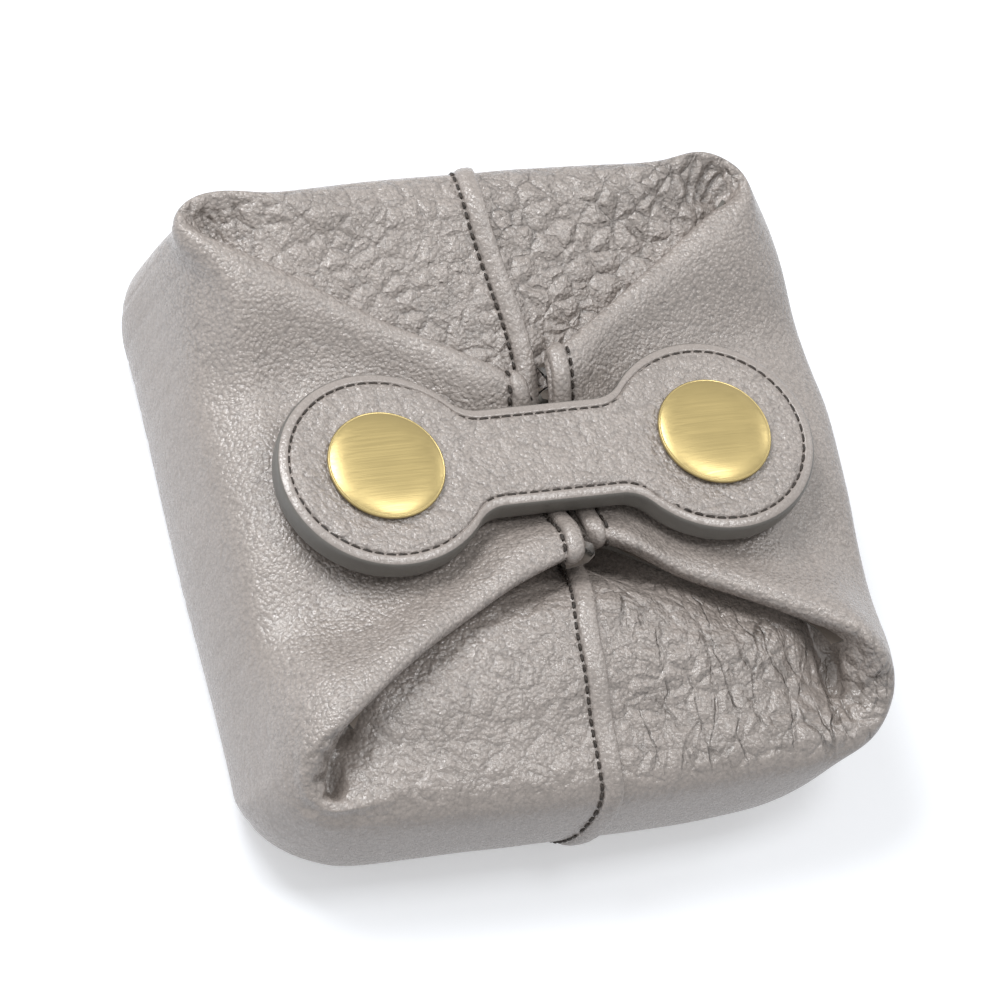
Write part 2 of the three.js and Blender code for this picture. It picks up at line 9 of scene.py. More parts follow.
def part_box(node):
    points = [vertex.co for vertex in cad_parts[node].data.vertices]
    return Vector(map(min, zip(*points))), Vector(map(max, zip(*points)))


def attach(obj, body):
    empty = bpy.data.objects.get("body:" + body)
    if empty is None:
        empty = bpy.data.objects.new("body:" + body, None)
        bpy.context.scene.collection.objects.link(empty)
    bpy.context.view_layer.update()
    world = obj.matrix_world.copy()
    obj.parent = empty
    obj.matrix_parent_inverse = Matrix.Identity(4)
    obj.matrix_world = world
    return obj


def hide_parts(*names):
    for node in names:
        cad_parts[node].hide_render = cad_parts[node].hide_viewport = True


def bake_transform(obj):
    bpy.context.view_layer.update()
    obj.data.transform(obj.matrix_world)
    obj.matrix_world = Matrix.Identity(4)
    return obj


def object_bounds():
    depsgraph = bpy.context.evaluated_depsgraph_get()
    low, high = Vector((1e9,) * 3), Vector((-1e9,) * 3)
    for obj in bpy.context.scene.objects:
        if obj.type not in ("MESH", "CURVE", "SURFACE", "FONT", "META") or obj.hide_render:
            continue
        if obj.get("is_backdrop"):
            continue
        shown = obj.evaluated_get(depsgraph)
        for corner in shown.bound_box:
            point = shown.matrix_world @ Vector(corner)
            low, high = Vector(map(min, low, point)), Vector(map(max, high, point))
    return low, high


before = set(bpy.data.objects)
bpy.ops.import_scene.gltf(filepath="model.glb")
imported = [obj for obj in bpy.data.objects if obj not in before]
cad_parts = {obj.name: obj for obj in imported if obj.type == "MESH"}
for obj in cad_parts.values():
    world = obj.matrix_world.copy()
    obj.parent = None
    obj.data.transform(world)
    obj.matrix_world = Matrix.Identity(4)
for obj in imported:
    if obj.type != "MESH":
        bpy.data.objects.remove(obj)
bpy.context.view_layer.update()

bl_info = {
    "name": "Leather cosmetic pouch",
    "version": (1, 0, 0),
    "blender": (4, 5, 0),
    "location": "View3D > Sidebar > Pouch",
    "description": "Dresses the packed pouch frame with grained leather, thread, brass and a studio stage",
    "category": "Object",
}

MM = 0.001
CAP_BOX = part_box("left_cap")
CAP_MIDDLE = (CAP_BOX[0] + CAP_BOX[1]) / 2
STRAP_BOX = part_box("strap_face_anchor")
BACK_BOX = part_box("strap_back_anchor")

# Samples along each net row and column of the leather, and the rows at which its pieces meet.
PER_ROW, PER_COLUMN = 9, 12
WALL_ROW, LAST_ROW = 6, 24
# Columns of the closed ring: the flaps' middles, the seams half way between them, and how far from its middle a flap
# meets a gusset.
RING = 48
FLAP_MIDDLE = {"left": 24, "right": 0}
SEAM = {"top": 12, "bottom": 36}
SPLIT = 6.5
# Which way along X or Y each side and end lies.
SIGN = {"left": -1, "right": 1, "top": 1, "bottom": -1}
# Cells along each side of the lattice of random numbers.
LATTICE = 32


def linear(code):
    """Linear colour of an sRGB hex code: each channel goes through the sRGB transfer curve."""
    channel = np.array([int(code[i:i + 2], 16) / 255 for i in (0, 2, 4)])
    curve = np.where(channel <= 0.04045, channel / 12.92, ((channel + 0.055) / 1.055) ** 2.4)
    return tuple(float(c) for c in curve)


def tint(name, description, code):
    """A colour property whose default is an sRGB hex code."""
    return FloatVectorProperty(name=name, description=description, default=linear(code), subtype="COLOR", min=0, max=1)


def length(name, description, default):
    """A length property in metres."""
    return FloatProperty(name=name, description=description, unit="LENGTH", precision=5, default=default)


class LeatherSettings(bpy.types.PropertyGroup):
    thickness: length("Leather thickness", "Thickness of the walls, flaps and gussets", 0.0014)
    grain_size: length("Fine grain", "Width of the fine grain all over", 0.0005)
    pebble: length("Pebble", "Width of the soft pebbles on gussets and strap", 0.0029)
    wrinkle: length("Unevenness", "How far the leather wanders from its smooth form", 0.0002)
    grain: tint("Grain side", "Colour of the finished leather", "a49b95")
    # The crease colour is painted shade: it is laid along the creases between pebbles, the long wrinkles and the ear
    # slits, where shade falls.
    crease: tint("Creases", "Colour of the finish in the creases between pebbles", "574f49")
    flesh: tint("Flesh side", "Colour of the suede inside", "8a8077")


class StrapSettings(bpy.types.PropertyGroup):
    cap_x: length("Cap distance", "Distance of a cap's middle from the pouch's middle", -CAP_MIDDLE.x)
    lobe: length("Lobe radius", "Radius of the strap's round ends", CAP_MIDDLE.x - STRAP_BOX[0].x)
    neck: length("Neck half width", "Half the width of the strap's neck", 0.0071)
    fillet: length("Neck fillet", "Radius between neck and lobe", 0.005)
    foot: length("Underside", "Height of the strap's underside", BACK_BOX[0].z)
    top: length("Upper side", "Height of the strap's upper side", STRAP_BOX[1].z)
    stitch_inset: length("Stitch inset", "Distance of the stitching from the edge", 0.00158)
    stitch_pitch: length("Stitch pitch", "Distance from stitch to stitch", 0.0015)
    thread: length("Thread", "Thickness of the thread", 0.00038)
    paint: tint("Edge paint", "Colour of the painted strap edge", "77746f")
    thread_colour: tint("Thread colour", "Colour of the waxed thread", "3a322c")


class MetalSettings(bpy.types.PropertyGroup):
    cap_radius: length("Cap radius", "Radius of the domed caps", (CAP_BOX[1].x - CAP_BOX[0].x) / 2)
    cap_seat: length("Cap seat", "Height at which the caps sit", CAP_BOX[1].z - 0.0012)
    cap_dome: length("Cap dome", "Height of a cap above its seat", 0.0012)
    brass: tint("Antique brass", "Colour of the caps", "b8a674")
    steel: tint("Spring steel", "Colour of the socket spring", "b9b7b2")


class StageSettings(bpy.types.PropertyGroup):
    lens: FloatProperty(name="Lens", description="Focal length on a 36 mm sensor, in millimetres", default=162.0)
    key: FloatProperty(name="Key light", description="Power of the overhead light", unit="POWER", default=1.55)
    fill: FloatProperty(name="Ambient", description="Strength of the world's light", default=0.3)
    floor: tint("Floor", "Colour of the floor", "eef2f8")


def smooth(t):
    """Smoothstep: 3t squared less 2t cubed, with t held between 0 and 1."""
    t = np.clip(t, 0, 1)
    return t * t * (3 - 2 * t)


def noise(points, size, seed):
    """Value noise from -1 to 1: seeded random numbers on a cubic lattice of that size, mixed by smoothstep weights."""
    table = np.random.default_rng(seed).uniform(-1, 1, (LATTICE, LATTICE, LATTICE))
    scaled = np.asarray(points) / size + 2 * LATTICE
    cell = np.floor(scaled).astype(int)
    share = smooth(scaled - cell)
    total = 0
    for corner in np.ndindex(2, 2, 2):
        index = (cell + corner) % LATTICE
        weight = np.where(np.array(corner) == 1, share, 1 - share).prod(-1)
        total = total + weight * table[index[..., 0], index[..., 1], index[..., 2]]
    return total


def unit(vectors):
    """Vectors divided by their lengths."""
    return vectors / np.linalg.norm(vectors, axis=-1, keepdims=True)


def way_along(path):
    """Distance along a path at each of its points."""
    return np.concatenate([[0], np.cumsum(np.linalg.norm(np.diff(path, axis=0), axis=1))])


def sample(at, step, values):
    """Values known at distances step along a path, read at the distances at."""
    return np.stack([np.interp(at, step, column) for column in values.T], 1)


# The pouch's leather as a net of control points, in millimetres. A row is a closed ring round the pouch: rows 0 to 7
# are the base and walls, 8 to 12 the shoulder and the ears, 13 to 22 the folded top from the shoulder to the rims,
# 23 and 24 the turned hem. A quarter of a ring has 13 columns: 0 to 4 the flap, 5 and 6 its rolled edge, 7 the bottom
# of the fold, 8 to 12 the gusset up to the seam.
WALL_HALF = np.array([0.01, 14.5, 29, 36.3, 40.4, 42.6, 43.2, 42.5])
WALL_Z = np.array([0, 0, 0, 0, 0.3, 4.6, 9.6, 14.4])
SHOULDER_HALF = np.array([41.7, 40.5, 38.2, 34.6, 32.0])
SHOULDER_CLIMB = np.array([0.36, 0.63, 0.82, 0.92, 0.97])
SHOULDER_TURN = np.array([0.25, 0.5, 0.75, 0.95, 1.0])
SHOULDER_OUT = np.array([0, 0, 0.7, 1.6, 1.6])
CORNER_FADE = np.array([0, 0, 0.5, 0.9, 0.9, 0.75, 0.55, 0.4, 0.3, 0.2])
BELLY_FADE = np.array([0, 0, 0, 0.6, 0.9, 1, 1, 1, 1, 1, 1, 0.7, 0.4])
CORNER_TURN = np.radians([8, 33, 57, 82])
FLAP_WALL = np.array([0, 0.25, 0.49, 0.68, 0.82])
FLAP_TOP = np.array([0, 0.25, 0.5, 0.72, 0.88])
GUSSET_WALL = np.array([0.78, 0.52, 0.26, 0.0])
GUSSET_TOP = np.array([0.74, 0.5, 0.25, 0.0])
PULL_COLUMNS = np.array([0, 0.2, 0.6, 0.9, 1.0, 1.0, 0.9, 0.7, 0.3])
PULL_ROWS = np.array([0, 0, 0, 0.6, 0.9, 1, 1, 1, 0.7, 0.4])
LIFT_ROWS = np.array([0, 0, 0, 0.8, 1, 1, 0.9, 0.7])
LIFT_COLUMNS = np.array([0.5, 1, 1, 0.9, 0.5, 0.1])
DISH = 23.1
BASE_LEAN = -2.4
GUSSET_Y = 35.4
CORNER_RADIUS, CORNER_GROWTH = 3.5, 3.2
RIM_TUCK = 5.0
# For each end: the gusset's climb over the shoulder, its height there, its rise near the ears, its fall towards the
# middle, its belly and its dive under the strap, the bulge of the wall and of its foot, the share of the ear's height
# along the shoulder, the height of the flap's edge near the middle, half way and at the corner, and how far the seam
# wanders: at the wall, at the rim, where it starts and over what length.
ENDS = {
    "top": dict(
        climb=(0.40, 0.72, 0.95, 1.0, 1.0), shoulder=29.6, brow=3.0, fall=0.36, belly=0.0, dive=0.0, bulge=2.2,
        foot=1.0, ear=(1.0, 0.6, 0.15, 0, 0), edge=(27.4, 28.4, 30.2), wander=(-1.2, 2.4, 38, 24)),
    "bottom": dict(
        climb=(0.30, 0.54, 0.73, 0.87, 0.96), shoulder=20.5, brow=0.0, fall=-0.16, belly=1.2, dive=0.3, bulge=1.6,
        foot=-0.3, ear=(0.22, 0.04, 0, 0, 0), edge=(27.2, 27.6, 26.6), wander=(-0.3, 1.9, 24, 13)),
}
# For each corner: lip height, how many columns inside the flap's border its corner fold is tacked, roundness of the
# wall below it, how far that wall is drawn in, the flap wall's bulge and pull inwards; the flap's half width as
# constant, slope and curve along x, where its roll starts and its rim ends, the roll's radius, the depth of the fold
# and the share it loses near the shoulder, and the sag of the gusset beside it; and the ear: rows 10 to 12 by columns
# 5 to 8.
CORNERS = {
    ("top", "left"): dict(
        lip=31.4, tack=0.1, tuck=2.0, lift=0.0, bulge=-0.6, pull=0.8, half=(10.7, 0.64, 0.0), start=34.0, rim=-0.7,
        roll=2.0, depth=8.0, shallow=0.45, sag=1.4, ear=(
        ((41.9, 34.0, 27.6), (41.6, 38.0, 28.8), (38.6, 40.6, 29.8), (33.0, 41.0, 30.4)),
        ((41.0, 34.8, 30.0), (40.8, 37.4, 31.0), (38.2, 39.8, 31.4), (33.0, 40.2, 31.5)),
        ((38.2, 34.6, 30.8), (38.6, 36.4, 28.6), (36.4, 35.4, 26.0), (33.0, 37.4, 28.8)))),
    ("top", "right"): dict(
        lip=31.0, tack=0.1, tuck=1.6, lift=0.0, bulge=2.7, pull=1.0, half=(11.1, 0.67, 0.0), start=31.5, rim=3.4,
        roll=2.0, depth=8.0, shallow=0.45, sag=1.4, ear=(
        ((37.9, 32.0, 28.2), (37.6, 36.2, 29.0), (35.4, 39.2, 29.8), (30.4, 41.2, 30.6)),
        ((36.8, 32.8, 30.4), (36.8, 36.2, 30.9), (34.8, 38.6, 31.2), (30.4, 40.8, 31.8)),
        ((34.6, 32.4, 30.8), (35.2, 35.0, 28.5), (33.2, 34.4, 26.0), (29.8, 37.2, 29.4)))),
    ("bottom", "left"): dict(
        lip=24.6, tack=0.2, tuck=3.0, lift=1.4, bulge=-0.6, pull=0.3, half=(13.4, 0.3, 0.0075), start=31.5, rim=-1.6,
        roll=2.3, depth=8.0, shallow=0.2, sag=1.6, ear=(
        ((41.0, 34.0, 21.4), (40.0, 38.4, 19.4), (37.0, 40.4, 18.2), (33.4, 41.2, 18.2)),
        ((38.6, 35.6, 24.2), (37.6, 36.6, 20.8), (34.8, 36.2, 17.0), (33.0, 38.6, 18.4)),
        ((35.2, 33.4, 25.8), (33.8, 31.4, 21.8), (31.4, 28.2, 17.0), (31.4, 34.6, 18.6)))),
    ("bottom", "right"): dict(
        lip=25.2, tack=0.25, tuck=6.0, lift=3.4, bulge=1.4, pull=2.0, half=(7.7, 0.61, 0.0), start=32.0, rim=2.7,
        roll=2.5, depth=8.5, shallow=0.2, sag=4.2, ear=(
        ((39.4, 31.4, 23.4), (38.6, 35.2, 21.4), (36.0, 37.4, 19.4), (31.4, 39.8, 18.8)),
        ((37.6, 33.0, 25.8), (35.4, 33.6, 22.8), (33.0, 32.4, 16.8), (32.2, 36.4, 18.4)),
        ((35.6, 30.8, 26.8), (33.8, 28.4, 22.6), (31.8, 25.2, 16.0), (31.8, 31.4, 17.8)))),
}


def flap_half(x, corner):
    """Half the width of a flap at distance x from the middle: a parabola along the folded edge."""
    constant, slope, curve = CORNERS[corner]["half"]
    return constant + slope * x + curve * x * x


# The strap's plan where it presses on the flaps: a cap's distance from the middle, lobe radius, half the neck's width.
PRESS_CAP, PRESS_LOBE, PRESS_NECK = 22.0, 13.7, 7.1


def strap_distance(x, y):
    """Distance from the strap's outline in plan: the lesser of the distances to a lobe and to the neck."""
    lobe = np.hypot(np.abs(x) - PRESS_CAP, y) - PRESS_LOBE
    neck = np.maximum(np.abs(y) - PRESS_NECK, np.abs(x) - PRESS_CAP)
    return np.minimum(lobe, neck)


def edge_height(x, end):
    """Height of a flap's rolled edge: near, middle and far values joined by two smooth steps."""
    near, middle, far = ENDS[end]["edge"]
    return near + (middle - near) * smooth(x / 24) + (far - middle) * smooth((x - 20) / 14)


def flap_height(x, y, corner):
    """Height of a flap: a dish pressed down by the strap, rising to the rolled edge with the distance from the strap,
    and falling away towards the wall except along that edge."""
    beside = strap_distance(x, y)
    reach = 3.2 + 4.8 * smooth(x / 18) + 7.0 * smooth((x - 18) / 14)
    inner = 1 - smooth((y / flap_half(x, corner) - 0.58) / 0.32)
    fall = 4.0 * smooth((x - 15) / 20) * smooth((beside + 1) / 6) * inner
    return DISH + (edge_height(x, corner[0]) - DISH) * smooth((beside - 0.2) / reach) - fall


def gusset_height(y, end):
    """Height of a gusset: a line falling from the shoulder, with a belly and a dive under the strap."""
    e = ENDS[end]
    inward = GUSSET_Y - y
    belly = e["belly"] * np.sin(np.pi * np.clip(inward / 24, 0, 1))
    return e["shoulder"] - e["fall"] * inward + belly - e["dive"] * np.clip(20 - y, 0, None) ** 1.3


def seam_wander(y, end):
    """Sideways place of the seam at distance y from the middle: a smooth step from the wall to the rim."""
    wall, rim, start, reach = ENDS[end]["wander"]
    return wall + (rim - wall) * smooth((start - y) / reach)


def quarter_net(end, side):
    """Control points of one quarter, with x and y positive: walls with arc corners, shoulder, ear, roll, fold and
    hem."""
    e, c = ENDS[end], CORNERS[end, side]
    z7 = WALL_Z[-1]
    net = np.zeros((LAST_ROW + 1, 13, 3))
    flap, gusset, top = slice(0, 5), slice(9, 13), slice(13, 23)
    half = np.concatenate([WALL_HALF, SHOULDER_HALF[:2]])
    radius = np.minimum(CORNER_RADIUS + CORNER_GROWTH * c["tuck"] * CORNER_FADE, 0.5 * half)
    straight = np.minimum(1.0, (half - radius) / (0.82 * half))
    arc = np.stack([np.cos(CORNER_TURN), np.sin(CORNER_TURN)], -1)
    net[:10, 5:9, :2] = (half - radius)[:, None, None] + radius[:, None, None] * arc
    net[:8, flap, 0] = WALL_HALF[:, None]
    net[:8, flap, 1] = (WALL_HALF * straight[:8])[:, None] * FLAP_WALL
    net[:8, gusset, 0] = (WALL_HALF * straight[:8])[:, None] * GUSSET_WALL
    net[:8, gusset, 1] = WALL_HALF[:, None]
    net[:8, :, 2] = WALL_Z[:, None]
    x = np.linspace(c["start"], c["rim"], 10)
    wide = flap_half(x, (end, side))
    turn, reach = SHOULDER_TURN[:, None], SHOULDER_HALF[:, None]
    far, spread = x[0], wide[0]
    climb = SHOULDER_CLIMB[:, None]
    net[8:13, flap, 0] = reach
    net[11:13, flap, 0] = np.array([0.45 * SHOULDER_HALF[2] + 0.55 * x[0] + 0.8, x[0] + 1.4])[:, None]
    net[8:13, flap, 1] = (1 - turn) * reach * FLAP_WALL + turn * spread * FLAP_TOP
    net[8:13, flap, 2] = z7 + climb * (flap_height(far, spread * FLAP_TOP, (end, side)) - z7)
    net[8:13, gusset, 0] = (1 - turn) * reach * GUSSET_WALL + turn * far * GUSSET_TOP
    net[8:13, gusset, 1] = reach + SHOULDER_OUT[:, None]
    net[12, gusset, 1] = (net[11, gusset, 1] + wide[0] + 0.9) / 2
    brow = e["brow"] * GUSSET_WALL ** 2 * np.array([0, 0.5, 1, 1, 0.5])[:, None]
    height = e["shoulder"] + (c["lip"] - e["shoulder"]) * np.array(e["ear"])[:, None]
    net[8:13, gusset, 2] = z7 + np.array(e["climb"])[:, None] * (height - z7) + brow
    belly = BELLY_FADE * e["bulge"]
    belly[3:7] = e["foot"] * BELLY_FADE[3:7] + (e["bulge"] - e["foot"]) * np.array([0, 0, 0.3, 0.75])
    net[:13, gusset, 1] += belly[:, None] * (1 - (GUSSET_WALL / 0.9) ** 2)
    net[:13, flap, 0] += c["bulge"] * BELLY_FADE[:, None] * (1 - (FLAP_WALL / 0.95) ** 4)
    net[8:10, 5:9, 2] = z7 + np.array([[0.42], [0.76]]) * (np.array(c["ear"])[0, :, 2] - z7)
    net[:10, :9, 0] -= c["pull"] * PULL_ROWS[:, None] * PULL_COLUMNS
    net[:8, 4:10, 1] -= c["lift"] * LIFT_ROWS[:, None] * LIFT_COLUMNS
    net[10:13, flap, 0] -= c["pull"] * BELLY_FADE[10:, None] * PULL_COLUMNS[flap]
    net[10:13, 5:9] = c["ear"]
    net[top, flap, 0] = x[:, None]
    net[top, flap, 1] = wide[:, None] * FLAP_TOP
    net[top, flap, 2] = flap_height(x[:, None], wide[:, None] * FLAP_TOP, (end, side))
    level = gusset_height(wide + 0.9, end)
    net[top, gusset, 0] = x[:, None] * GUSSET_TOP
    net[top, gusset, 1] = wide[:, None] + 0.9
    sag = c["sag"] * (1 - 0.6 * smooth((x - 22) / 9))
    net[top, gusset, 2] = level[:, None] - sag[:, None] * GUSSET_TOP ** 2
    crest, roll = flap_height(x, 0.9 * wide, (end, side)), c["roll"]
    beside = level - sag
    deep = c["depth"] * (1 - c["shallow"] * smooth((x - c["start"] + 6) / 6)) * (0.55 + 0.45 * smooth(x / 8))
    net[top, 5] = np.stack([x + 0.2, wide + 1.3, crest - 0.3], 1)
    net[top, 6] = np.stack([x + 0.2, wide - 0.2, crest - 1.7 * roll], 1)
    net[top, 7] = np.stack([x - 1.5, wide - deep, np.minimum(crest - 2.2 * roll, beside - 0.8)], 1)
    net[top, 8] = np.stack([x * 0.93, wide - 1.2, beside], 1)
    net[23, :8] = net[22, :8] + np.array((-0.6, 0, -1.5))
    net[24, :8] = net[22, :8] + np.array((2.2, 0, -2.6))
    net[23:, 6:8] += np.array(((1.2, -3.0, 1.6), (4.5, -4.0, -0.6)))
    y = np.array([8.0, 3.5])[:, None]
    share = np.concatenate([[0.0], 1 - GUSSET_TOP / 0.91])
    net[23:, 8:, 0] = (c["rim"] + RIM_TUCK) * (1 - share)
    net[23:, 8:, 1] = y
    net[23:, 8:, 2] = gusset_height(y, end) - 1.0
    net[10:, 8:, 0] += SIGN[side] * seam_wander(net[10:, 8:, 1], end) * share
    return net


def whole_net():
    """The four quarters mirrored into one closed ring of columns, with the base shifted sideways under the top."""
    quarters = {key: quarter_net(*key) for key in CORNERS}
    tr, tl = quarters["top", "right"], quarters["top", "left"] * (-1, 1, 1)
    bl, br = quarters["bottom", "left"] * (-1, -1, 1), quarters["bottom", "right"] * (1, -1, 1)
    right, left = (tr[:, :1] + br[:, :1]) / 2, (tl[:, :1] + bl[:, :1]) / 2
    top, bottom = (tr[:, 12:] + tl[:, 12:]) / 2, (bl[:, 12:] + br[:, 12:]) / 2
    up, down = slice(1, 12), slice(11, 0, -1)
    net = np.concatenate([right, tr[:, up], top, tl[:, down], left, bl[:, up], bottom, br[:, down]], 1)
    net[..., 0] += BASE_LEAN * (1 - smooth(net[..., 2] / 24))
    return net


NET = whole_net()
PADDED = np.concatenate([2 * NET[:1] - NET[1:2], NET, 2 * NET[-1:] - NET[-2:-1]])


def spline_weights(t):
    """Weights of the four control points of a uniform cubic B-spline at t, and the same for its slope."""
    value = np.array([
        (1 - t) ** 3, 3 * t ** 3 - 6 * t ** 2 + 4, -3 * t ** 3 + 3 * t ** 2 + 3 * t + 1, t ** 3]) / 6
    slope = np.array([-(1 - t) ** 2, 3 * t ** 2 - 4 * t, -3 * t ** 2 + 2 * t + 1, t ** 2]) / 2
    return value, slope


def spline(rows, columns):
    """Points and outward normals of the bicubic B-spline through the net, at arrays of row and column numbers."""
    rows, columns = np.broadcast_arrays(np.asarray(rows, float), np.asarray(columns, float))
    i = np.clip(np.floor(rows), 0, LAST_ROW - 1).astype(int)
    j = np.floor(columns).astype(int)
    (wi, si), (wj, sj) = spline_weights(rows - i), spline_weights(columns - j)
    point, along, across = (np.zeros(rows.shape + (3,)) for _ in range(3))
    for a, b in np.ndindex(4, 4):
        knot = PADDED[i + a, (j - 1 + b) % RING]
        point += (wi[a] * wj[b])[..., None] * knot
        along += (si[a] * wj[b])[..., None] * knot
        across += (wi[a] * sj[b])[..., None] * knot
    normal = np.cross(across, along)
    size = np.linalg.norm(normal, axis=-1, keepdims=True)
    return point, np.where(size > 1e-3, normal / np.maximum(size, 1e-9), (0.0, 0.0, -1.0))


# Creases gathered at the ears, on the gusset and on the lip: points in plan, half width and depth, in millimetres. The
# deepest ones on the gussets are the slots in which the bottom folds end.
GUSSET_CREASES = [
    (((-38.1, 37.6), (-36.6, 35.2)), 0.3, 0.52),
    (((-37.2, 38.4), (-36.4, 36.5), (-35.6, 34.6)), 0.3, 0.52),
    (((-36.3, 38.2), (-35.6, 36.5), (-34.5, 34.4)), 0.3, 0.45),
    (((-35, 37.6), (-34.2, 35.7)), 0.3, 0.34),
    (((-32.9, 38.6), (-32.7, 36.5), (-32.9, 34.2)), 0.32, 0.45),
    (((-31.3, 35), (-30.9, 33.5), (-31.7, 32)), 0.3, 0.34),
    (((34.8, 37.4), (33, 36.9), (31.9, 35.6), (30.2, 33.6)), 0.32, 0.68),
    (((33.5, 39), (31.8, 37.7), (30.6, 35.9), (29.3, 33)), 0.35, 0.68),
    (((30.9, 39.8), (29.8, 37.9), (28.8, 35.5), (28.2, 32.8)), 0.35, 0.6),
    (((26.5, 38.2), (26.4, 35.7), (27.3, 32.2)), 0.32, 0.45),
    (((23.5, 35.5), (24.4, 33.7), (26.1, 31.7), (28.4, 31.1)), 0.3, 0.38),
    (((18.6, 32), (21.1, 30), (24.1, 28.7)), 0.3, 0.34),
    (((-31.5, -29), (-34.4, -32.4), (-34.9, -34.6), (-35.2, -37), (-36, -39.4)), 0.8, 2.0),
    (((33.4, -26), (32.9, -28), (32.3, -30), (32.2, -32), (32.6, -34)), 0.8, 2.0),
    (((31.6, -32), (31.1, -35.6), (31, -38.6)), 0.3, 0.45),
    (((32.7, -33), (32.8, -35.5), (33.3, -38.2)), 0.3, 0.45),
]
LIP_CREASES = [
    (((-35, -33), (-38.2, -34.2)), 0.3, 0.3),
    (((-35.4, -34.9), (-39.6, -34.7)), 0.3, 0.3),
    (((-35.2, -35.8), (-39, -37.2)), 0.3, 0.35),
    (((-35.2, -36.4), (-37.4, -39)), 0.3, 0.35),
    (((32, -32.6), (34.7, -33.9), (38.6, -33.8)), 0.32, 0.5),
    (((32.8, -33), (35.4, -36.4)), 0.3, 0.35),
]


def crease_lines(points, lines):
    """Depth and shade of creases: for each a bell curve of the distance in plan from its line, fading at both ends."""
    depth, shade = np.zeros(points.shape[:-1]), np.zeros(points.shape[:-1])
    for line, width, deep in lines:
        line = np.array(line)
        step = np.diff(line, axis=0)
        span = np.linalg.norm(step, axis=1)
        before = np.cumsum(span) - span
        off = points[..., None, :2] - line[:-1]
        along = np.clip((off * step).sum(-1) / span ** 2, 0, 1)
        gap = np.linalg.norm(off - along[..., None] * step, axis=-1)
        t = np.take_along_axis(before + along * span, gap.argmin(-1)[..., None], -1)[..., 0] / span.sum()
        bell = np.exp(-(gap.min(-1) / width) ** 2) * smooth(5 * t) * smooth(5 * (1 - t))
        bell = bell * smooth((points[..., 2] - 12) / 3)
        depth, shade = np.maximum(depth, deep * bell), np.maximum(shade, bell)
    return depth, shade


def off_flap(columns):
    """Distance in columns from the nearest flap's middle."""
    return np.abs((columns % 24 + 12) % 24 - 12)


def ear_creases(rows, columns, points):
    """Depth and shade of all ear creases, each set kept to its own side of the fold."""
    across = off_flap(columns)
    deep, dark = crease_lines(points, GUSSET_CREASES)
    lip_deep, lip_dark = crease_lines(points, LIP_CREASES)
    inner, outer = smooth((across - 6.2) / 0.8), smooth(8.5 - across) * smooth(13 - rows)
    return inner * deep + outer * lip_deep, np.maximum(inner * dark, outer * lip_dark)


def crease_height(points, axis, pitch, seed):
    """Furrows across one axis: narrow valleys of a sine whose phase wanders with noise, fading in and out."""
    wander = 1.5 * noise(points, 9.0, seed) + 0.6 * noise(points, 3.5, seed + 1)
    wave = np.sin(2 * math.pi * (points[..., axis] + wander) / pitch)
    return -np.clip((wave - 0.55) / 0.45, 0, 1) ** 1.5 * smooth(0.5 + 1.1 * noise(points, 7.0, seed + 2))


def top_share(points):
    """1 on the upward gussets of the top and bottom, falling to 0 on walls and flaps; kept apart for the two ends."""
    x, y, z = np.moveaxis(points, -1, 0)
    edge = {key: flap_half(SIGN[key[1]] * x, key) for key in CORNERS}
    edge = np.where(x > 0, np.where(y > 0, edge["top", "right"], edge["bottom", "right"]),
                    np.where(y > 0, edge["top", "left"], edge["bottom", "left"]))
    inside = smooth((np.abs(y) - edge + 0.5) / 2.5) * smooth((43.2 - np.abs(y)) / 4)
    return inside * (y > 0) * smooth((z - 15) / 6), inside * (y < 0) * smooth((z - 13) / 5)


def leather_points(rows, columns):
    """The spline moved along its normals by unevenness, creases and wrinkles; and those normals."""
    rows, columns = np.broadcast_arrays(np.asarray(rows, float), np.asarray(columns, float))
    point, normal = spline(rows, columns)
    wrinkle = bpy.context.scene.pouch_leather.wrinkle / MM
    bottom = top_share(point)[1]
    x = point[..., 0]
    height = wrinkle * noise(point, 17.0, 1) + 0.35 * wrinkle * noise(point, 6.0, 2)
    height -= ear_creases(rows, columns, point)[0]
    near = smooth((46 + point[..., 1] - 0.25 * x) / 8)
    height += 0.26 * bottom * near * smooth((x + 1) / 6) * crease_height(point, 0, 3.6, 8)
    height += 0.10 * smooth((-37 - x) / 3) * crease_height(point, 1, 4.0, 9)
    return point + normal * (height * smooth((point[..., 2] - 0.2) / 3))[..., None], normal


def grid_normals(points):
    """Unit normals of a grid of points: the cross product of its central differences along both directions."""
    normal = np.cross(np.gradient(points, axis=1), np.gradient(points, axis=0))
    return normal / np.maximum(np.linalg.norm(normal, axis=-1, keepdims=True), 1e-9)


def quads(rows, columns, start=0, flip=False, closed=False):
    """Corner numbers of the quads of a grid whose points are numbered row by row from start; closed joins its last
    column to its first."""
    number = start + np.arange(rows * columns).reshape(rows, columns)
    if closed:
        number = np.concatenate([number, number[:, :1]], 1)
    face = np.stack([number[:-1, :-1], number[:-1, 1:], number[1:, 1:], number[1:, :-1]], -1).reshape(-1, 4)
    return face[:, ::-1] if flip else face


def fan(start, count, tip, flip=False):
    """Corner numbers of the triangles between a ring of points, numbered from start, and a tip."""
    ring = start + np.arange(count)
    pair = (np.roll(ring, -1), ring) if flip else (ring, np.roll(ring, -1))
    return np.stack([*pair, np.full(count, tip)], -1)


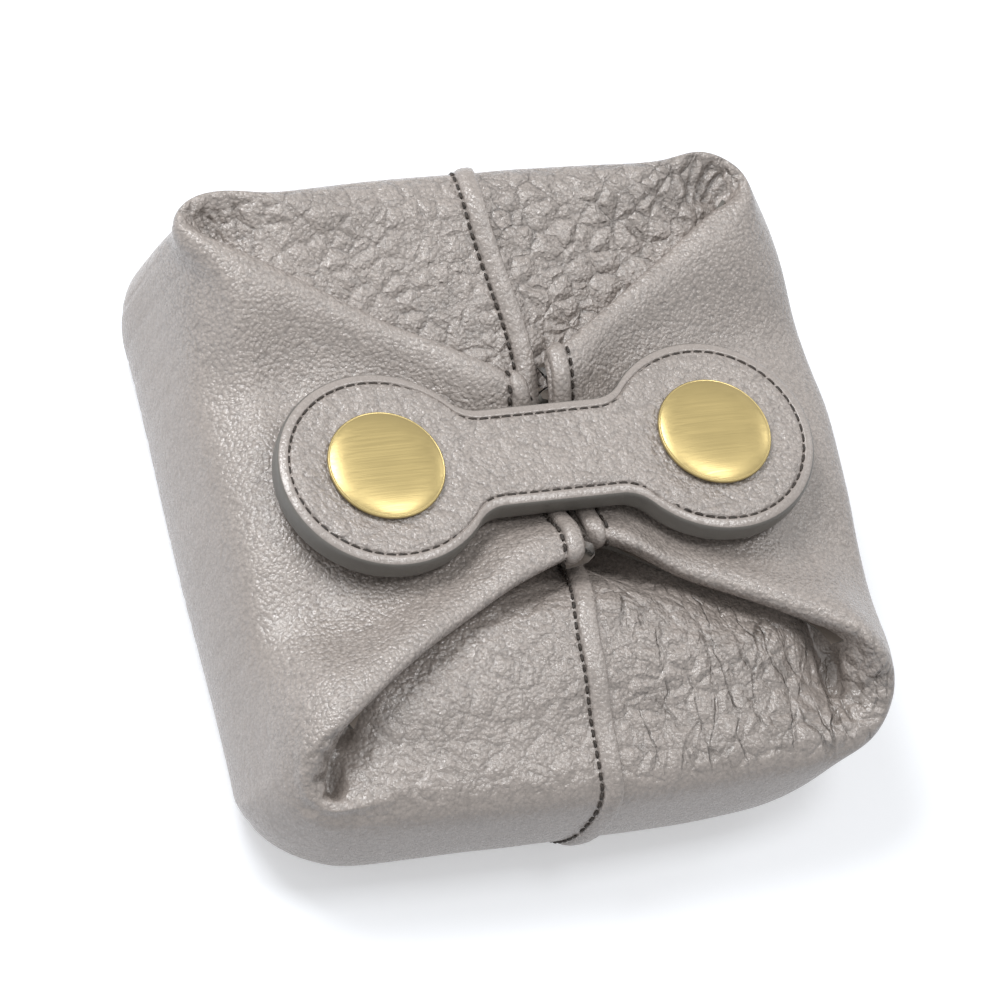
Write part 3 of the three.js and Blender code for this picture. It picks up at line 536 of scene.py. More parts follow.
def make_piece(name, points, faces, materials, groups=None, values=None):
    """Puts points (millimetres), faces, material numbers and point values into one smooth mesh at the origin."""
    mesh = bpy.data.meshes.new(name)
    points = np.asarray(points, float).reshape(-1, 3)
    mesh.from_pydata(points * MM, [], faces)
    for material in materials:
        mesh.materials.append(finish(material))
    if groups is not None:
        mesh.polygons.foreach_set("material_index", np.asarray(groups, np.int32))
    mesh.polygons.foreach_set("use_smooth", np.ones(len(faces), bool))
    for key, value in (values or {}).items():
        data = np.broadcast_to(np.asarray(value, np.float32), len(points)).copy()
        mesh.attributes.new(key, "FLOAT", "POINT").data.foreach_set("value", data)
    mesh.update()
    piece = bpy.data.objects.new(name, mesh)
    bpy.context.scene.collection.objects.link(piece)
    return piece


# Finishes of the leather sheets (outer, inner and cut edge), of the laps and hems, the thread and the caps.
LEATHER = ("milled_calf_leather", "suede_flesh_side", "burnished_edge_paint")
BAND, THREAD, BRASS = LEATHER[:1], ("waxed_polyester_thread",), ("satin_antique_brass",)
# Point values read by the leather's material, as they are on the laps, hems and corner sheets.
BAND_GRAIN = {"pebble": 0.05, "fine": 0.7, "wrinkle": 0.0, "slit_shade": 0.0}


def grain_values(points):
    """Point values for the leather: pebbles full on the right of the top gusset, less on its left and at the bottom,
    few elsewhere; fine grain weaker on the walls; long wrinkles on the right of the bottom gusset."""
    top, bottom = top_share(points)
    x, z = points[..., 0], points[..., 2]
    pebble = 0.1 + top * (0.55 + 0.4 * smooth((x + 3) / 5)) + bottom * (0.35 + 0.3 * smooth((x + 2) / 6))
    fine = 0.45 + 0.55 * smooth((z - 15) / 8)
    return {"pebble": np.clip(pebble, 0, 1), "fine": fine, "wrinkle": bottom * smooth((x - 1) / 5)}


def ear_thinning(rows, columns):
    """Share of the leather's thickness: skived to a third round the ears, where the fold is tight."""
    across = np.abs(off_flap(columns) - 6.8)
    return 1 - 0.66 * smooth(1.6 - across / 1.8) * smooth(1.5 - np.abs(rows - 12) / 2.2)


def sheet_piece(name, outer, normal, thick, values):
    """A closed sheet: a grid of points, the same grid moved against its normals by the thickness, and a strip along
    each border."""
    inner = outer - normal * thick[..., None]
    r, c = outer.shape[:2]
    count, tiles = r * c, (r - 1) * (c - 1)
    border = np.concatenate([
        np.arange(c), c - 1 + c * np.arange(1, r), count - 2 - np.arange(c - 1), c * np.arange(r - 2, 0, -1)])
    following = np.roll(border, -1)
    rim = np.stack([border, border + count, following + count, following], -1)
    faces = np.concatenate([quads(r, c), quads(r, c, count, True), rim])
    groups = np.repeat([0, 1, 2], [tiles, tiles, len(rim)])
    skin = np.concatenate([normal.reshape(-1, 3), -normal.reshape(-1, 3)])
    corner = skin[faces]
    corner[2 * tiles:] = 0
    points = np.concatenate([outer.reshape(-1, 3), inner.reshape(-1, 3)])
    values = {key: np.tile(np.broadcast_to(value, (r, c)).ravel(), 2) for key, value in values.items()}
    piece = make_piece(name, points, faces.tolist(), LEATHER, groups, values)
    ends = np.zeros(2 * len(piece.data.edges), np.int32)
    piece.data.edges.foreach_get("vertices", ends)
    ends = ends.reshape(-1, 2)
    sharp = np.isin(ends % count, border).all(1) & (np.abs(ends[:, 0] - ends[:, 1]) != count)
    piece.data.attributes.new("sharp_edge", "BOOLEAN", "EDGE").data.foreach_set("value", sharp)
    piece.data.normals_split_custom_set(corner.reshape(-1, 3))
    return piece


def leather_piece(name, row_range, column_range, pivot=0, draw=0.0):
    """A sheet of the pouch's leather between two rows and two columns, drawn in towards the pivot column by a share
    past the rims; worked out one step wider all round for the sake of its normals."""
    rows = np.linspace(*row_range, round((row_range[1] - row_range[0]) * PER_ROW) + 1)
    columns = np.linspace(*column_range, round((column_range[1] - column_range[0]) * PER_COLUMN) + 1)
    step_r, step_c = rows[1] - rows[0], columns[1] - columns[0]
    rows = np.concatenate([[max(rows[0] - step_r, 0)], rows, [min(rows[-1] + step_r, LAST_ROW)]])
    columns = np.concatenate([[columns[0] - step_c], columns, [columns[-1] + step_c]])
    rows, columns = np.meshgrid(rows, columns, indexing="ij")
    columns = pivot + (columns - pivot) * (1 - draw * smooth((rows - 21) / 2))
    points = leather_points(rows, columns)[0]
    inside = slice(1, -1), slice(1, -1)
    normal, outer, rows, columns = grid_normals(points)[inside], points[inside], rows[inside], columns[inside]
    flat = np.linalg.norm(normal, axis=-1, keepdims=True) < 0.5
    normal = np.where(flat, (0.0, 0.0, -1.0), normal)
    thick = bpy.context.scene.pouch_leather.thickness / MM * ear_thinning(rows, columns)
    # The ear creases' shade goes to the material, which paints it into the leather's colour as painted shade.
    values = {**grain_values(outer), "slit_shade": ear_creases(rows, columns, outer)[1]}
    return sheet_piece(name, outer, normal, thick, values)


def sweep(path, normal, profile, height=None, tip=0.0):
    """A closed band: a profile of (sideways, up) points carried along a path, its tips drawn in over a given length."""
    sideways = unit(np.cross(unit(np.gradient(path, axis=0)), normal))
    step = way_along(path)
    near = np.minimum(step, step[-1] - step)
    draw = np.sqrt(np.clip(1 - (1 - np.clip(near / tip, 0.02, 1)) ** 2, 0, 1)) if tip else np.ones_like(step)
    tall = draw if height is None else draw * height
    across, up = profile[None, ::-1, :1], profile[None, ::-1, 1:]
    grid = path[:, None] + sideways[:, None] * across * draw[:, None, None] + normal[:, None] * up * tall[:, None, None]
    r, c = grid.shape[:2]
    points = np.concatenate([grid.reshape(-1, 3), grid[0].mean(0)[None], grid[-1].mean(0)[None]])
    faces = quads(r, c, closed=True)[:, [0, 3, 2, 1]].tolist()
    return points, faces + fan(0, c, r * c).tolist() + fan((r - 1) * c, c, r * c + 1, True).tolist()


def stitch_mesh(centres, along, up, half, radius, rings=5, sides=8):
    """Stitches: for each place a short bent capsule, a ring of points swept along an arch whose ends dip into the
    leather; the triangles at its tips are quads whose last two corners are one point."""
    t = np.linspace(-1, 1, rings + 2)[1:-1]
    turn = np.arange(sides) * 2 * math.pi / sides
    centres, along, up = centres[:, None], along[:, None], up[:, None]
    swell = radius * np.sqrt(np.clip(1 - (0.86 * np.abs(t)) ** 4, 0.1, 1))
    arch = -0.9 * radius * np.abs(t) ** 3
    spine = centres + along * (t * half)[None, :, None] + up * arch[None, :, None]
    ring = np.cross(along, up)[:, None] * np.cos(turn)[:, None] + up[:, None] * np.sin(turn)[:, None]
    tube = spine[:, :, None] + ring * swell[None, :, None, None]
    tips = centres + along * (np.array([-1.0, 1.0]) * half)[None, :, None] - up * radius * 0.9
    n = len(centres)
    points = np.concatenate([tube.reshape(n, -1, 3), tips], 1)
    each = rings * sides + 2
    first, last = fan(0, sides, each - 2, True), fan((rings - 1) * sides, sides, each - 1)
    one = np.concatenate([quads(rings, sides, closed=True), first[:, [0, 1, 2, 2]], last[:, [0, 1, 2, 2]]])
    faces = one[None] + each * np.arange(n)[:, None, None]
    return points.reshape(-1, 3), tidy_faces(faces.reshape(-1, 4))


def tidy_faces(faces):
    """Faces as lists, with a quad whose last two corners are one point turned into a triangle."""
    return [tuple(f[:3]) if f[2] == f[3] else tuple(f) for f in faces.tolist()]


def add(owner, kind, inputs=None, **settings):
    """Adds a shader node to a material or world and gives its outputs: settings are its own fields, inputs are socket
    values, or sockets to link from."""
    tree = owner.node_tree
    node = tree.nodes.new("ShaderNode" + kind)
    for field, value in settings.items():
        setattr(node, field, value)
    for key, value in (inputs or {}).items():
        if isinstance(value, bpy.types.NodeSocket):
            tree.links.new(value, node.inputs[key])
        else:
            node.inputs[key].default_value = value
    return node.outputs


def clouds(m, place, size, detail, rough=0.5, output="Fac"):
    """Noise with swells of a given size."""
    return add(m, "TexNoise", {"Vector": place, "Scale": 1 / size, "Detail": detail, "Roughness": rough})[output]


def wander(m, start, place, size, detail, amount):
    """Places start moved about by an amount of noise read at place."""
    way = clouds(m, place, size, detail, output="Color")
    return mix(m, amount, start, way, "LINEAR_LIGHT")


def calc(m, operation, first, second, clamp=False):
    """Two values put together by an arithmetic operation."""
    return add(m, "Math", {0: first, 1: second}, operation=operation, use_clamp=clamp)[0]


def remap(m, value, source, target=(0.0, 1.0), kind="LINEAR"):
    """A value mapped from one range to another."""
    ranges = {"From Min": source[0], "From Max": source[1], "To Min": target[0], "To Max": target[1]}
    return add(m, "MapRange", {"Value": value, **ranges}, interpolation_type=kind)["Result"]


def mix(m, share, first, second, kind="MIX"):
    """Two colours mixed by a share of the second."""
    return add(m, "MixRGB", {"Fac": share, "Color1": first, "Color2": second}, blend_type=kind)["Color"]


def bump(m, height, distance, strength=1.0, **under):
    """A normal bent by heights, on top of the normal under it."""
    return add(m, "Bump", {"Height": height, "Distance": distance, "Strength": strength, **under})["Normal"]


def surface(m, body, rough, normal, **inputs):
    """Ends a material with one principled shader; an underscore in an input's name stands for a space."""
    inputs = {key.replace("_", " "): value for key, value in inputs.items()}
    inputs.update({"Base Color": body, "Roughness": rough, "Normal": normal})
    add(m, "OutputMaterial", {"Surface": add(m, "BsdfPrincipled", inputs)["BSDF"]})


def rgba(colour, shade=1.0):
    """A colour with full alpha, darkened to a share of itself."""
    return (*(shade * c for c in colour), 1.0)


def places(m):
    """Places on the piece itself, in metres."""
    return add(m, "TexCoord")["Object"]


def grained_leather(m):
    """Milled calf leather: fine grain 0.5 mm wide all over, soft pebbles 2.9 mm wide raised by tumbling and parted by
    broken creases, long wrinkles where it is drawn in, and a satin finish that glints on the grain. Painted shade:
    the creases, wrinkles and ear slits are darkened in the colour, and the fine grain is painted darker in its pores
    and lighter on its tops."""
    s = bpy.context.scene.pouch_leather
    place = places(m)
    coarse, fine, long, slit_shade = (add(m, "Attribute", attribute_name=key)["Fac"] for key in BAND_GRAIN)
    near = wander(m, place, place, size=0.0007, detail=2.0, amount=0.0002)
    far = wander(m, near, place, size=0.004, detail=1.0, amount=0.0007)
    bent = wander(m, place, place, size=0.007, detail=3.0, amount=0.0026)
    drawn = add(m, "Mapping", {"Vector": bent, "Scale": (1 / 0.0034, 1 / 0.011, 1 / 0.008)})["Vector"]
    cell = add(m, "TexVoronoi", {"Vector": near, "Scale": 1 / s.grain_size})["Distance"]
    edge, fold = (add(m, "TexVoronoi", {"Vector": at, "Scale": scale}, feature="DISTANCE_TO_EDGE")["Distance"]
                  for at, scale in ((far, 1 / s.pebble), (drawn, 1.0)))
    pore = clouds(m, near, size=0.0005, detail=3.0, rough=0.6)
    grit = calc(m, "SUBTRACT", pore, cell)
    dome = remap(m, edge, (-0.06, 0.4), kind="SMOOTHSTEP")
    part = remap(m, clouds(m, place, size=0.005, detail=2.0), (0.4, 0.62), (0.12, 0.85))
    # Painted shade: dark lines along the creases between pebbles, the long wrinkles and the ear slits.
    crack_shade = calc(m, "MULTIPLY", remap(m, edge, (0.0, 0.075), (part, 0.0), "SMOOTHSTEP"), coarse)
    fold = calc(m, "MULTIPLY", remap(m, fold, (0.0, 0.06), (part, 0.0), "SMOOTHSTEP"), long)
    line = calc(m, "MAXIMUM", calc(m, "MAXIMUM", crack_shade, fold), calc(m, "MULTIPLY", slit_shade, 0.6))
    ease = remap(m, clouds(m, place, size=0.012, detail=4.0), (0.3, 0.7), (0.94, 1.06))
    # Painted light and shade on the fine grain: the colour follows its bump height, darker in the pores and lighter on
    # the tops.
    grain_shade = remap(m, grit, (-0.5, 0.4), (0.7, 1.2))
    # The crease colour goes on along those lines as painted shade.
    body = mix(m, line, rgba(s.grain), rgba(s.crease))
    body = mix(m, fine, body, calc(m, "MULTIPLY", ease, grain_shade), "MULTIPLY")
    gloss = remap(m, pore, (0.3, 0.7), (0.2, 0.36))
    normal = bump(m, grit, calc(m, "MULTIPLY", fine, 0.00013))
    normal = bump(m, dome, calc(m, "MULTIPLY", coarse, 0.0005), Normal=normal)
    normal = bump(m, fold, -0.0002, Normal=normal)
    surface(m, body, gloss, normal, IOR=1.5, Specular_IOR_Level=1.0)


def suede(m):
    """Flesh side of the leather: a buffed nap of fine fibres, matt, with soft cloudy shade."""
    flesh = bpy.context.scene.pouch_leather.flesh
    place = places(m)
    nap = clouds(m, place, size=0.0005, detail=5.0)
    body = mix(m, clouds(m, place, size=0.008, detail=3.0), rgba(flesh, 0.72), rgba(flesh))
    surface(m, body, 0.92, bump(m, nap, 0.0001, 0.8), Sheen_Weight=0.25, Specular_IOR_Level=0.2)


def painted_edge(m):
    """Edge paint: several burnished coats of pigment over the cut layers, satin, with slight ripples."""
    paint = bpy.context.scene.pouch_strap.paint
    ripple = clouds(m, places(m), size=0.0018, detail=3.0)
    surface(m, mix(m, ripple, rgba(paint, 0.8), rgba(paint)), 0.46, bump(m, ripple, 0.00012, 0.5), IOR=1.5)


def waxed_thread(m):
    """Waxed polyester thread: two twisted plies, dark, with painted sheen on the crowns and painted shade between."""
    thread = bpy.context.scene.pouch_strap.thread_colour
    wave = {"Vector": places(m), "Scale": 1 / 0.0016, "Distortion": 1.5}
    twist = add(m, "TexWave", wave, bands_direction="DIAGONAL")["Fac"]
    # Painted sheen and shade: the colour follows the twist, lighter on the crowns and darker between the plies.
    surface(m, mix(m, twist, rgba(thread, 0.45), rgba(thread)), 0.6, bump(m, twist, 0.0001, 0.7), IOR=1.5)


def brushed_metal(m, colour, rough):
    """Satin plated metal: fine parallel brush lines drawn along X, wider than the real 0.05 mm scratches so that they
    show."""
    place = places(m)
    line = add(m, "Mapping", {"Vector": place, "Scale": (90.0, 5200.0, 5200.0)})["Vector"]
    brush = clouds(m, line, size=1.0, detail=4.0)
    body = mix(m, clouds(m, place, size=0.006, detail=3.0), rgba(colour, 0.8), rgba(colour))
    gloss = remap(m, brush, (0.3, 0.7), (rough - 0.06, rough + 0.08))
    surface(m, body, gloss, bump(m, brush, 0.00002, 0.5), Metallic=1.0)


def antique_brass(m):
    """Antique brass plating of the caps and snap."""
    brushed_metal(m, bpy.context.scene.pouch_metal.brass, 0.34)


def spring_steel(m):
    """Bright steel of the socket's spring."""
    brushed_metal(m, bpy.context.scene.pouch_metal.steel, 0.28)


def seen_rays(owner):
    """1 for rays by which the camera sees, straight, mirrored or through glass, and 0 for those that only light."""
    ray = add(owner, "LightPath")
    seen = calc(owner, "ADD", ray["Is Camera Ray"], ray["Is Glossy Ray"], True)
    return calc(owner, "ADD", seen, ray["Is Transmission Ray"], True)


WHITE = (1, 1, 1, 1)
# Strength of the glow by which the floor looks white to the camera.
FLOOR_GLOW = 0.4


def white_board(m):
    """Matt white board, with a glow that only the camera sees."""
    card = add(m, "BsdfDiffuse", {"Color": rgba(bpy.context.scene.pouch_stage.floor)})[0]
    light = add(m, "Emission", {"Color": WHITE, "Strength": calc(m, "MULTIPLY", seen_rays(m), FLOOR_GLOW)})[0]
    add(m, "OutputMaterial", {"Surface": add(m, "AddShader", {0: card, 1: light})[0]})


FINISHES = {
    "milled_calf_leather": grained_leather, "suede_flesh_side": suede, "burnished_edge_paint": painted_edge,
    "waxed_polyester_thread": waxed_thread, "satin_antique_brass": antique_brass, "spring_steel": spring_steel,
    "matt_white_board": white_board,
}


def finish(name):
    """The material of that name, made when it is first asked for."""
    m = bpy.data.materials.get(name)
    if m is None:
        m = bpy.data.materials.new(name)
        m.use_nodes = True
        m.node_tree.nodes.clear()
        FINISHES[name](m)
    return m


class POUCH_OT_walls(bpy.types.Operator):
    """Base and walls: the two panels that meet at the centre seam"""
    bl_idname = "pouch.walls"
    bl_label = "Walls and base"

    def execute(self, context):
        for side, start in (("left", SEAM["top"]), ("right", SEAM["bottom"])):
            piece = leather_piece(f"{side}_panel_leather", (0, WALL_ROW), (start, start + RING // 2))
            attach(piece, "pouch_body")
            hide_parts(f"{side}_panel")
        return {"FINISHED"}


# Share of their width by which the flaps and gussets are drawn in past the rims.
FLAP_DRAW, GUSSET_DRAW = 0.15, 0.36


class POUCH_OT_flaps(bpy.types.Operator):
    """The two flaps that fold over the face, from the wall to the turned hem"""
    bl_idname = "pouch.flaps"
    bl_label = "Flaps"

    def execute(self, context):
        for side, middle in FLAP_MIDDLE.items():
            sign, columns = SIGN[side], (middle - SPLIT, middle + SPLIT)
            piece = leather_piece(f"{side}_flap_sheet", (WALL_ROW, LAST_ROW), columns, middle, FLAP_DRAW)
            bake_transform(piece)
            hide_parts(f"{side}_flap_leather")
        return {"FINISHED"}


class POUCH_OT_gussets(bpy.types.Operator):
    """The two gussets that tuck in under the flaps"""
    bl_idname = "pouch.gussets"
    bl_label = "Gussets"

    def execute(self, context):
        reach = RING // 4 - SPLIT
        for end, middle in SEAM.items():
            first, second = ("right", "left") if end == "top" else ("left", "right")
            for side, columns in ((first, (middle - reach, middle)), (second, (middle, middle + reach))):
                name = f"{end}_gusset_sheet_{side}"
                piece = leather_piece(name, (WALL_ROW, LAST_ROW), columns, middle, GUSSET_DRAW)
                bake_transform(piece)
                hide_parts(f"{end}_gusset_{side}")
        return {"FINISHED"}


# Section of the seam's lap: sideways and up, in millimetres; and the rows between which it runs.
SEAM_PROFILE = np.array([
    (-1.4, -0.5), (-1.35, 0.05), (-1.1, 0.4), (-0.7, 0.66), (-0.1, 0.8), (0.5, 0.82), (0.95, 0.76), (1.18, 0.62),
    (1.27, 0.35), (1.28, -0.5)])
SEAM_FIRST, SEAM_LAST = 0.05, 23.7


def strip_height(path):
    """Height of the seam's lap: full on the walls, pressed flat under the base, with shallow creases every 3.5 mm."""
    wave = np.sin(math.pi * way_along(path) / 3.5)
    return (0.25 + 0.75 * smooth(path[:, 2] / 5)) * (1 - 0.05 * np.abs(wave) ** 8)


def seam_stitches(path, normal, pitch, inset, half, radius, start=0.8):
    """Stitches at a fixed pitch along a path, moved sideways by the inset, as one mesh; start is in pitches."""
    step = way_along(path)
    at = np.arange(start * pitch, step[-1] - 0.5 * pitch, pitch)
    up = unit(sample(at, step, normal))
    along = sample(at, step, np.gradient(path, step, axis=0))
    along = unit(along - up * (along * up).sum(1, keepdims=True))
    centre = sample(at, step, path) + np.cross(along, up) * inset + up * 0.12
    return stitch_mesh(centre, along, up, half, radius)


class POUCH_OT_seam(bpy.types.Operator):
    """The lapped centre seam with its stitching, on the walls, the base and both gussets"""
    bl_idname = "pouch.seam"
    bl_label = "Centre seam"

    def execute(self, context):
        low = np.linspace(WALL_ROW, SEAM_FIRST, 200)
        top, bottom = leather_points(low, SEAM["top"]), leather_points(low[::-1], SEAM["bottom"])
        runs = {"wall": [np.concatenate(pair) for pair in zip(top, bottom)]}
        for end, way in (("top", -1), ("bottom", 1)):
            runs[end] = leather_points(np.linspace(WALL_ROW, SEAM_LAST, 420)[::way], SEAM[end])
        for end, (path, up) in runs.items():
            points, faces = sweep(path, up, SEAM_PROFILE, strip_height(path))
            lap = make_piece(f"{end}_seam_lap", points, faces, BAND, None, BAND_GRAIN)
            points, faces = seam_stitches(path, up, pitch=1.35, inset=-1.55, half=0.58, radius=0.2)
            thread = make_piece(f"{end}_seam_stitches", points, faces, THREAD)
            for piece in (lap, thread):
                if end == "wall":
                    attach(piece, "pouch_body")
                else:
                    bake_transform(piece)
            if end == "wall":
                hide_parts("top_wall_thread", "bottom_wall_thread")
            else:
                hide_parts(f"{end}_gusset_thread")
        return {"FINISHED"}


# Section of the flaps' hem: sideways and up, in millimetres; its row, half its length in columns and its tips' length.
HEM_PROFILE = np.array([
    (-1.25, -0.4), (-1.25, 0.25), (-1.05, 0.62), (-0.6, 0.85), (0.1, 0.9), (0.7, 0.8), (1.1, 0.5), (1.2, 0.1),
    (1.2, -0.4)])
HEM_ROW, HEM_HALF, HEM_TIP = 21.6, 5.8, 1.3


class POUCH_OT_hems(bpy.types.Operator):
    """The folded and stitched hem along each flap's rim"""
    bl_idname = "pouch.hems"
    bl_label = "Hems"

    def execute(self, context):
        for side, middle in FLAP_MIDDLE.items():
            path, up = leather_points(HEM_ROW, np.linspace(middle - HEM_HALF, middle + HEM_HALF, 160))
            points, faces = sweep(path, up, HEM_PROFILE, None, HEM_TIP)
            hem = make_piece(f"{side}_hem_band", points, faces, BAND, None, BAND_GRAIN)
            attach(hem, f"{side}_flap")
            points, faces = seam_stitches(path, up, pitch=1.5, inset=1.5, half=0.62, radius=0.22)
            thread = make_piece(f"{side}_hem_stitches", points, faces, THREAD)
            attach(thread, f"{side}_flap")
            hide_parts(f"{side}_hem_thread")
        return {"FINISHED"}


def strap_outline(count, inset=0.0):
    """Outline of the strap in plan, evenly spaced: neck lines, fillet arcs and lobe arcs, mirrored, less the inset."""
    s = bpy.context.scene.pouch_strap
    cap, lobe, neck, fillet = (v / MM for v in (s.cap_x, s.lobe, s.neck, s.fillet))
    lobe, neck, fillet = lobe - inset, neck - inset, fillet + inset
    middle = cap - math.sqrt((lobe + fillet) ** 2 - (neck + fillet) ** 2)
    meet = math.atan2(neck + fillet, cap - middle)
    turn = np.linspace(-math.pi / 2, -math.pi / 2 + (math.pi / 2 - meet), 60)
    curve = np.stack([middle + fillet * np.cos(turn), neck + fillet + fillet * np.sin(turn)], 1)
    round_end = np.linspace(math.pi - meet, 0, 160)
    arc = np.stack([cap + lobe * np.cos(round_end), lobe * np.sin(round_end)], 1)
    part = np.concatenate([[(0, neck)], curve, arc[1:]])
    half = np.concatenate([part, part[::-1][1:] * (1, -1)])
    whole = np.concatenate([half, half[::-1][1:-1] * (-1, 1), half[:1]])
    step = way_along(whole)
    return sample(np.linspace(0, step[-1], count, endpoint=False), step, whole), step[-1]


# Strap section from the middle of the underside round the edge: distance from the edge and share of the height.
STRAP_EDGE = np.array([
    (2.2, 0.0), (1.4, 0.01), (0.8, 0.05), (0.35, 0.13), (0.1, 0.22), (0.02, 0.32), (0, 0.5), (0, 0.7), (0.04, 0.8),
    (0.14, 0.865), (0.3, 0.905), (0.5, 0.93), (0.8, 0.952), (1.1, 0.968), (1.3, 0.972), (1.42, 0.955), (1.5, 0.925),
    (1.58, 0.915), (1.66, 0.925), (1.75, 0.96), (1.9, 0.985), (2.2, 1.0), (3.0, 1.0)])
# Grid rows across the underside before that section and over the face after it, points round the strap, the depth of
# its stitches in millimetres, the rows between which the edge is painted, and the row after which the face's grain sets
# in.
UNDER_ROWS, FACE_ROWS, STRAP_POINTS = 5, 14, 540
STITCH_DEPTH = 0.42
PAINT_FROM, PAINT_TO, GRAIN_FROM = UNDER_ROWS + 2, UNDER_ROWS + 10, UNDER_ROWS + 14


class POUCH_OT_strap(bpy.types.Operator):
    """The dog-bone strap: grained face, painted edge and back in one piece, and its stitching"""
    bl_idname = "pouch.strap"
    bl_label = "Strap"

    def execute(self, context):
        s = context.scene.pouch_strap
        cap = s.cap_x / MM
        foot, top = s.foot / MM, s.top / MM
        outline = strap_outline(STRAP_POINTS)[0]
        inward = np.stack([np.clip(outline[:, 0], -cap, cap), np.zeros(STRAP_POINTS)], 1) - outline
        depth = np.linalg.norm(inward, axis=1)
        inward /= depth[:, None]
        first, last = STRAP_EDGE[0, 0], STRAP_EDGE[-1, 0]
        distance = np.concatenate([
            depth + (first - depth) * np.linspace(0, 1, UNDER_ROWS + 1)[:-1, None],
            np.broadcast_to(STRAP_EDGE[:, :1], (len(STRAP_EDGE), STRAP_POINTS)),
            last + (depth - last) * np.linspace(0, 1, FACE_ROWS + 1)[1:, None]])
        level = np.concatenate([np.zeros(UNDER_ROWS), STRAP_EDGE[:, 1], np.ones(FACE_ROWS)])
        height = np.broadcast_to(foot + (top - foot) * level[:, None], distance.shape)
        grid = np.concatenate([outline + inward * distance[..., None], height[..., None]], -1)
        press = np.exp(-((np.hypot(np.abs(grid[..., 0]) - cap, grid[..., 1]) - 8.2) / 1.3) ** 2)
        grid[..., 2] += np.where(level[:, None] > 0.5, 0.12 * noise(grid, 9.0, 21) - 0.18 * press, 0.0)
        rows = len(level)
        faces = quads(rows, STRAP_POINTS, flip=True, closed=True).tolist()
        band = np.repeat(np.arange(rows - 1), STRAP_POINTS)
        groups = np.where(band < PAINT_FROM, 1, np.where(band < PAINT_TO, 2, 0))
        border = np.repeat(smooth((np.arange(rows) - GRAIN_FROM) / 4), STRAP_POINTS)
        grain = {"pebble": 0.05 + 0.3 * border, "fine": 0.35 + 0.65 * border, "wrinkle": 0.0, "slit_shade": 0.0}
        piece = make_piece("strap_leather", grid, faces, LEATHER, groups, grain)
        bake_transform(piece)
        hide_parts(*[f"strap_{layer}_{part}"
                             for layer in ("face", "core", "back") for part in ("anchor", "tongue")])
        line, around = strap_outline(2000, s.stitch_inset / MM)
        path = np.insert(np.concatenate([line, line[:1]]), 2, top - STITCH_DEPTH, axis=1)
        up = np.tile((0.0, 0.0, 1.0), (len(path), 1))
        pitch = around / round(around * MM / s.stitch_pitch)
        points, faces = seam_stitches(path, up, pitch, 0.0, 0.46 * pitch, s.thread / MM / 2, 0.0)
        thread = make_piece("strap_stitches", points, faces, THREAD)
        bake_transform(thread)
        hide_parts("strap_thread_anchor", "strap_thread_tongue")
        return {"FINISHED"}


def lathe(profile, centre, count=128):
    """A closed turned part: a profile of (radius, height) points carried round an upright axis, its ends on it."""
    turn = np.arange(count) * 2 * math.pi / count
    ring = np.stack([np.cos(turn), np.sin(turn)], 1)
    body = profile[1:-1]
    height = np.broadcast_to(body[:, None, 1:], (len(body), count, 1))
    grid = np.concatenate([body[:, None, :1] * ring[None] + np.array(centre), height], -1)
    points = np.concatenate([grid.reshape(-1, 3), [(*centre, profile[0, 1]), (*centre, profile[-1, 1])]])
    tip = len(points) - 2
    faces = quads(len(body), count, closed=True).tolist()
    return points, faces + fan(0, count, tip, True).tolist() + fan(tip - count, count, tip + 1).tolist()


# The caps' rolled rim, and how far their underside reaches below the seat, in millimetres.
RIM_RADIUS, RIM_TOP, CAP_UNDER = 0.32, 0.38, 0.3


class POUCH_OT_caps(bpy.types.Operator):
    """The two domed brass caps with rolled rims"""
    bl_idname = "pouch.caps"
    bl_label = "Caps"

    def execute(self, context):
        s = context.scene.pouch_metal
        radius, seat, dome = s.cap_radius / MM, s.cap_seat / MM, s.cap_dome / MM
        share = np.sin(np.linspace(0.42 * math.pi, 0, 26))
        crown = np.stack([radius * share, seat + RIM_TOP + (dome - RIM_TOP) * (1 - share ** 4) ** 0.7], 1)
        turn = np.linspace(-math.pi / 2, math.pi / 2.6, 9)
        rim = RIM_RADIUS * np.stack([np.cos(turn), np.sin(turn)], 1) + (radius - RIM_RADIUS, seat + RIM_RADIUS)
        under = [(0, seat - CAP_UNDER), (radius - 1.2, seat - CAP_UNDER), (radius - 0.7, seat - 0.2)]
        profile = np.concatenate([under, rim, crown])
        for side, body in (("left", "left_flap"), ("right", "strap")):
            points, faces = lathe(profile, (SIGN[side] * context.scene.pouch_strap.cap_x / MM, 0.0))
            piece = make_piece(f"{side}_brass_cap", points, faces, BRASS)
            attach(piece, body)
            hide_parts(f"{side}_cap")
        return {"FINISHED"}


class POUCH_OT_snap(bpy.types.Operator):
    """Finishes of the rivet, snap socket, spring, stud and post, whose turned CAD shapes stay"""
    bl_idname = "pouch.snap"
    bl_label = "Rivet and snap"

    def execute(self, context):
        brass = dict.fromkeys(("left_rivet_back", "snap_socket", "snap_stud", "stud_post"), BRASS[0])
        for node, material in {**brass, "socket_spring": "spring_steel"}.items():
            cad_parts[node].data.materials.clear()
            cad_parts[node].data.materials.append(finish(material))
        return {"FINISHED"}


# The crease in which a corner fold meets a gusset corner, near the wall and near the rim: once on the fold, once on the
# gusset corner; and for both the power by which the sheet falls off and its height above the border it starts from.
FOLD_CREASE = np.array([(36.0, 28.4, 22.4), (28.8, 7.2, 18.0)])
CORNER_CREASE = np.array([(36.8, 31.0, 16.6), (38.3, 5.5, 14.6)])
FOLD_DROP, FOLD_LIFT = 2.0, 0.8
CORNER_DROP, CORNER_LIFT = 1.3, -0.25
# Rows along a corner sheet, points across it and its thickness.
CORNER_ROWS, CORNER_POINTS, CORNER_THICK = np.linspace(12.1, 22.2, 49), 25, 0.7
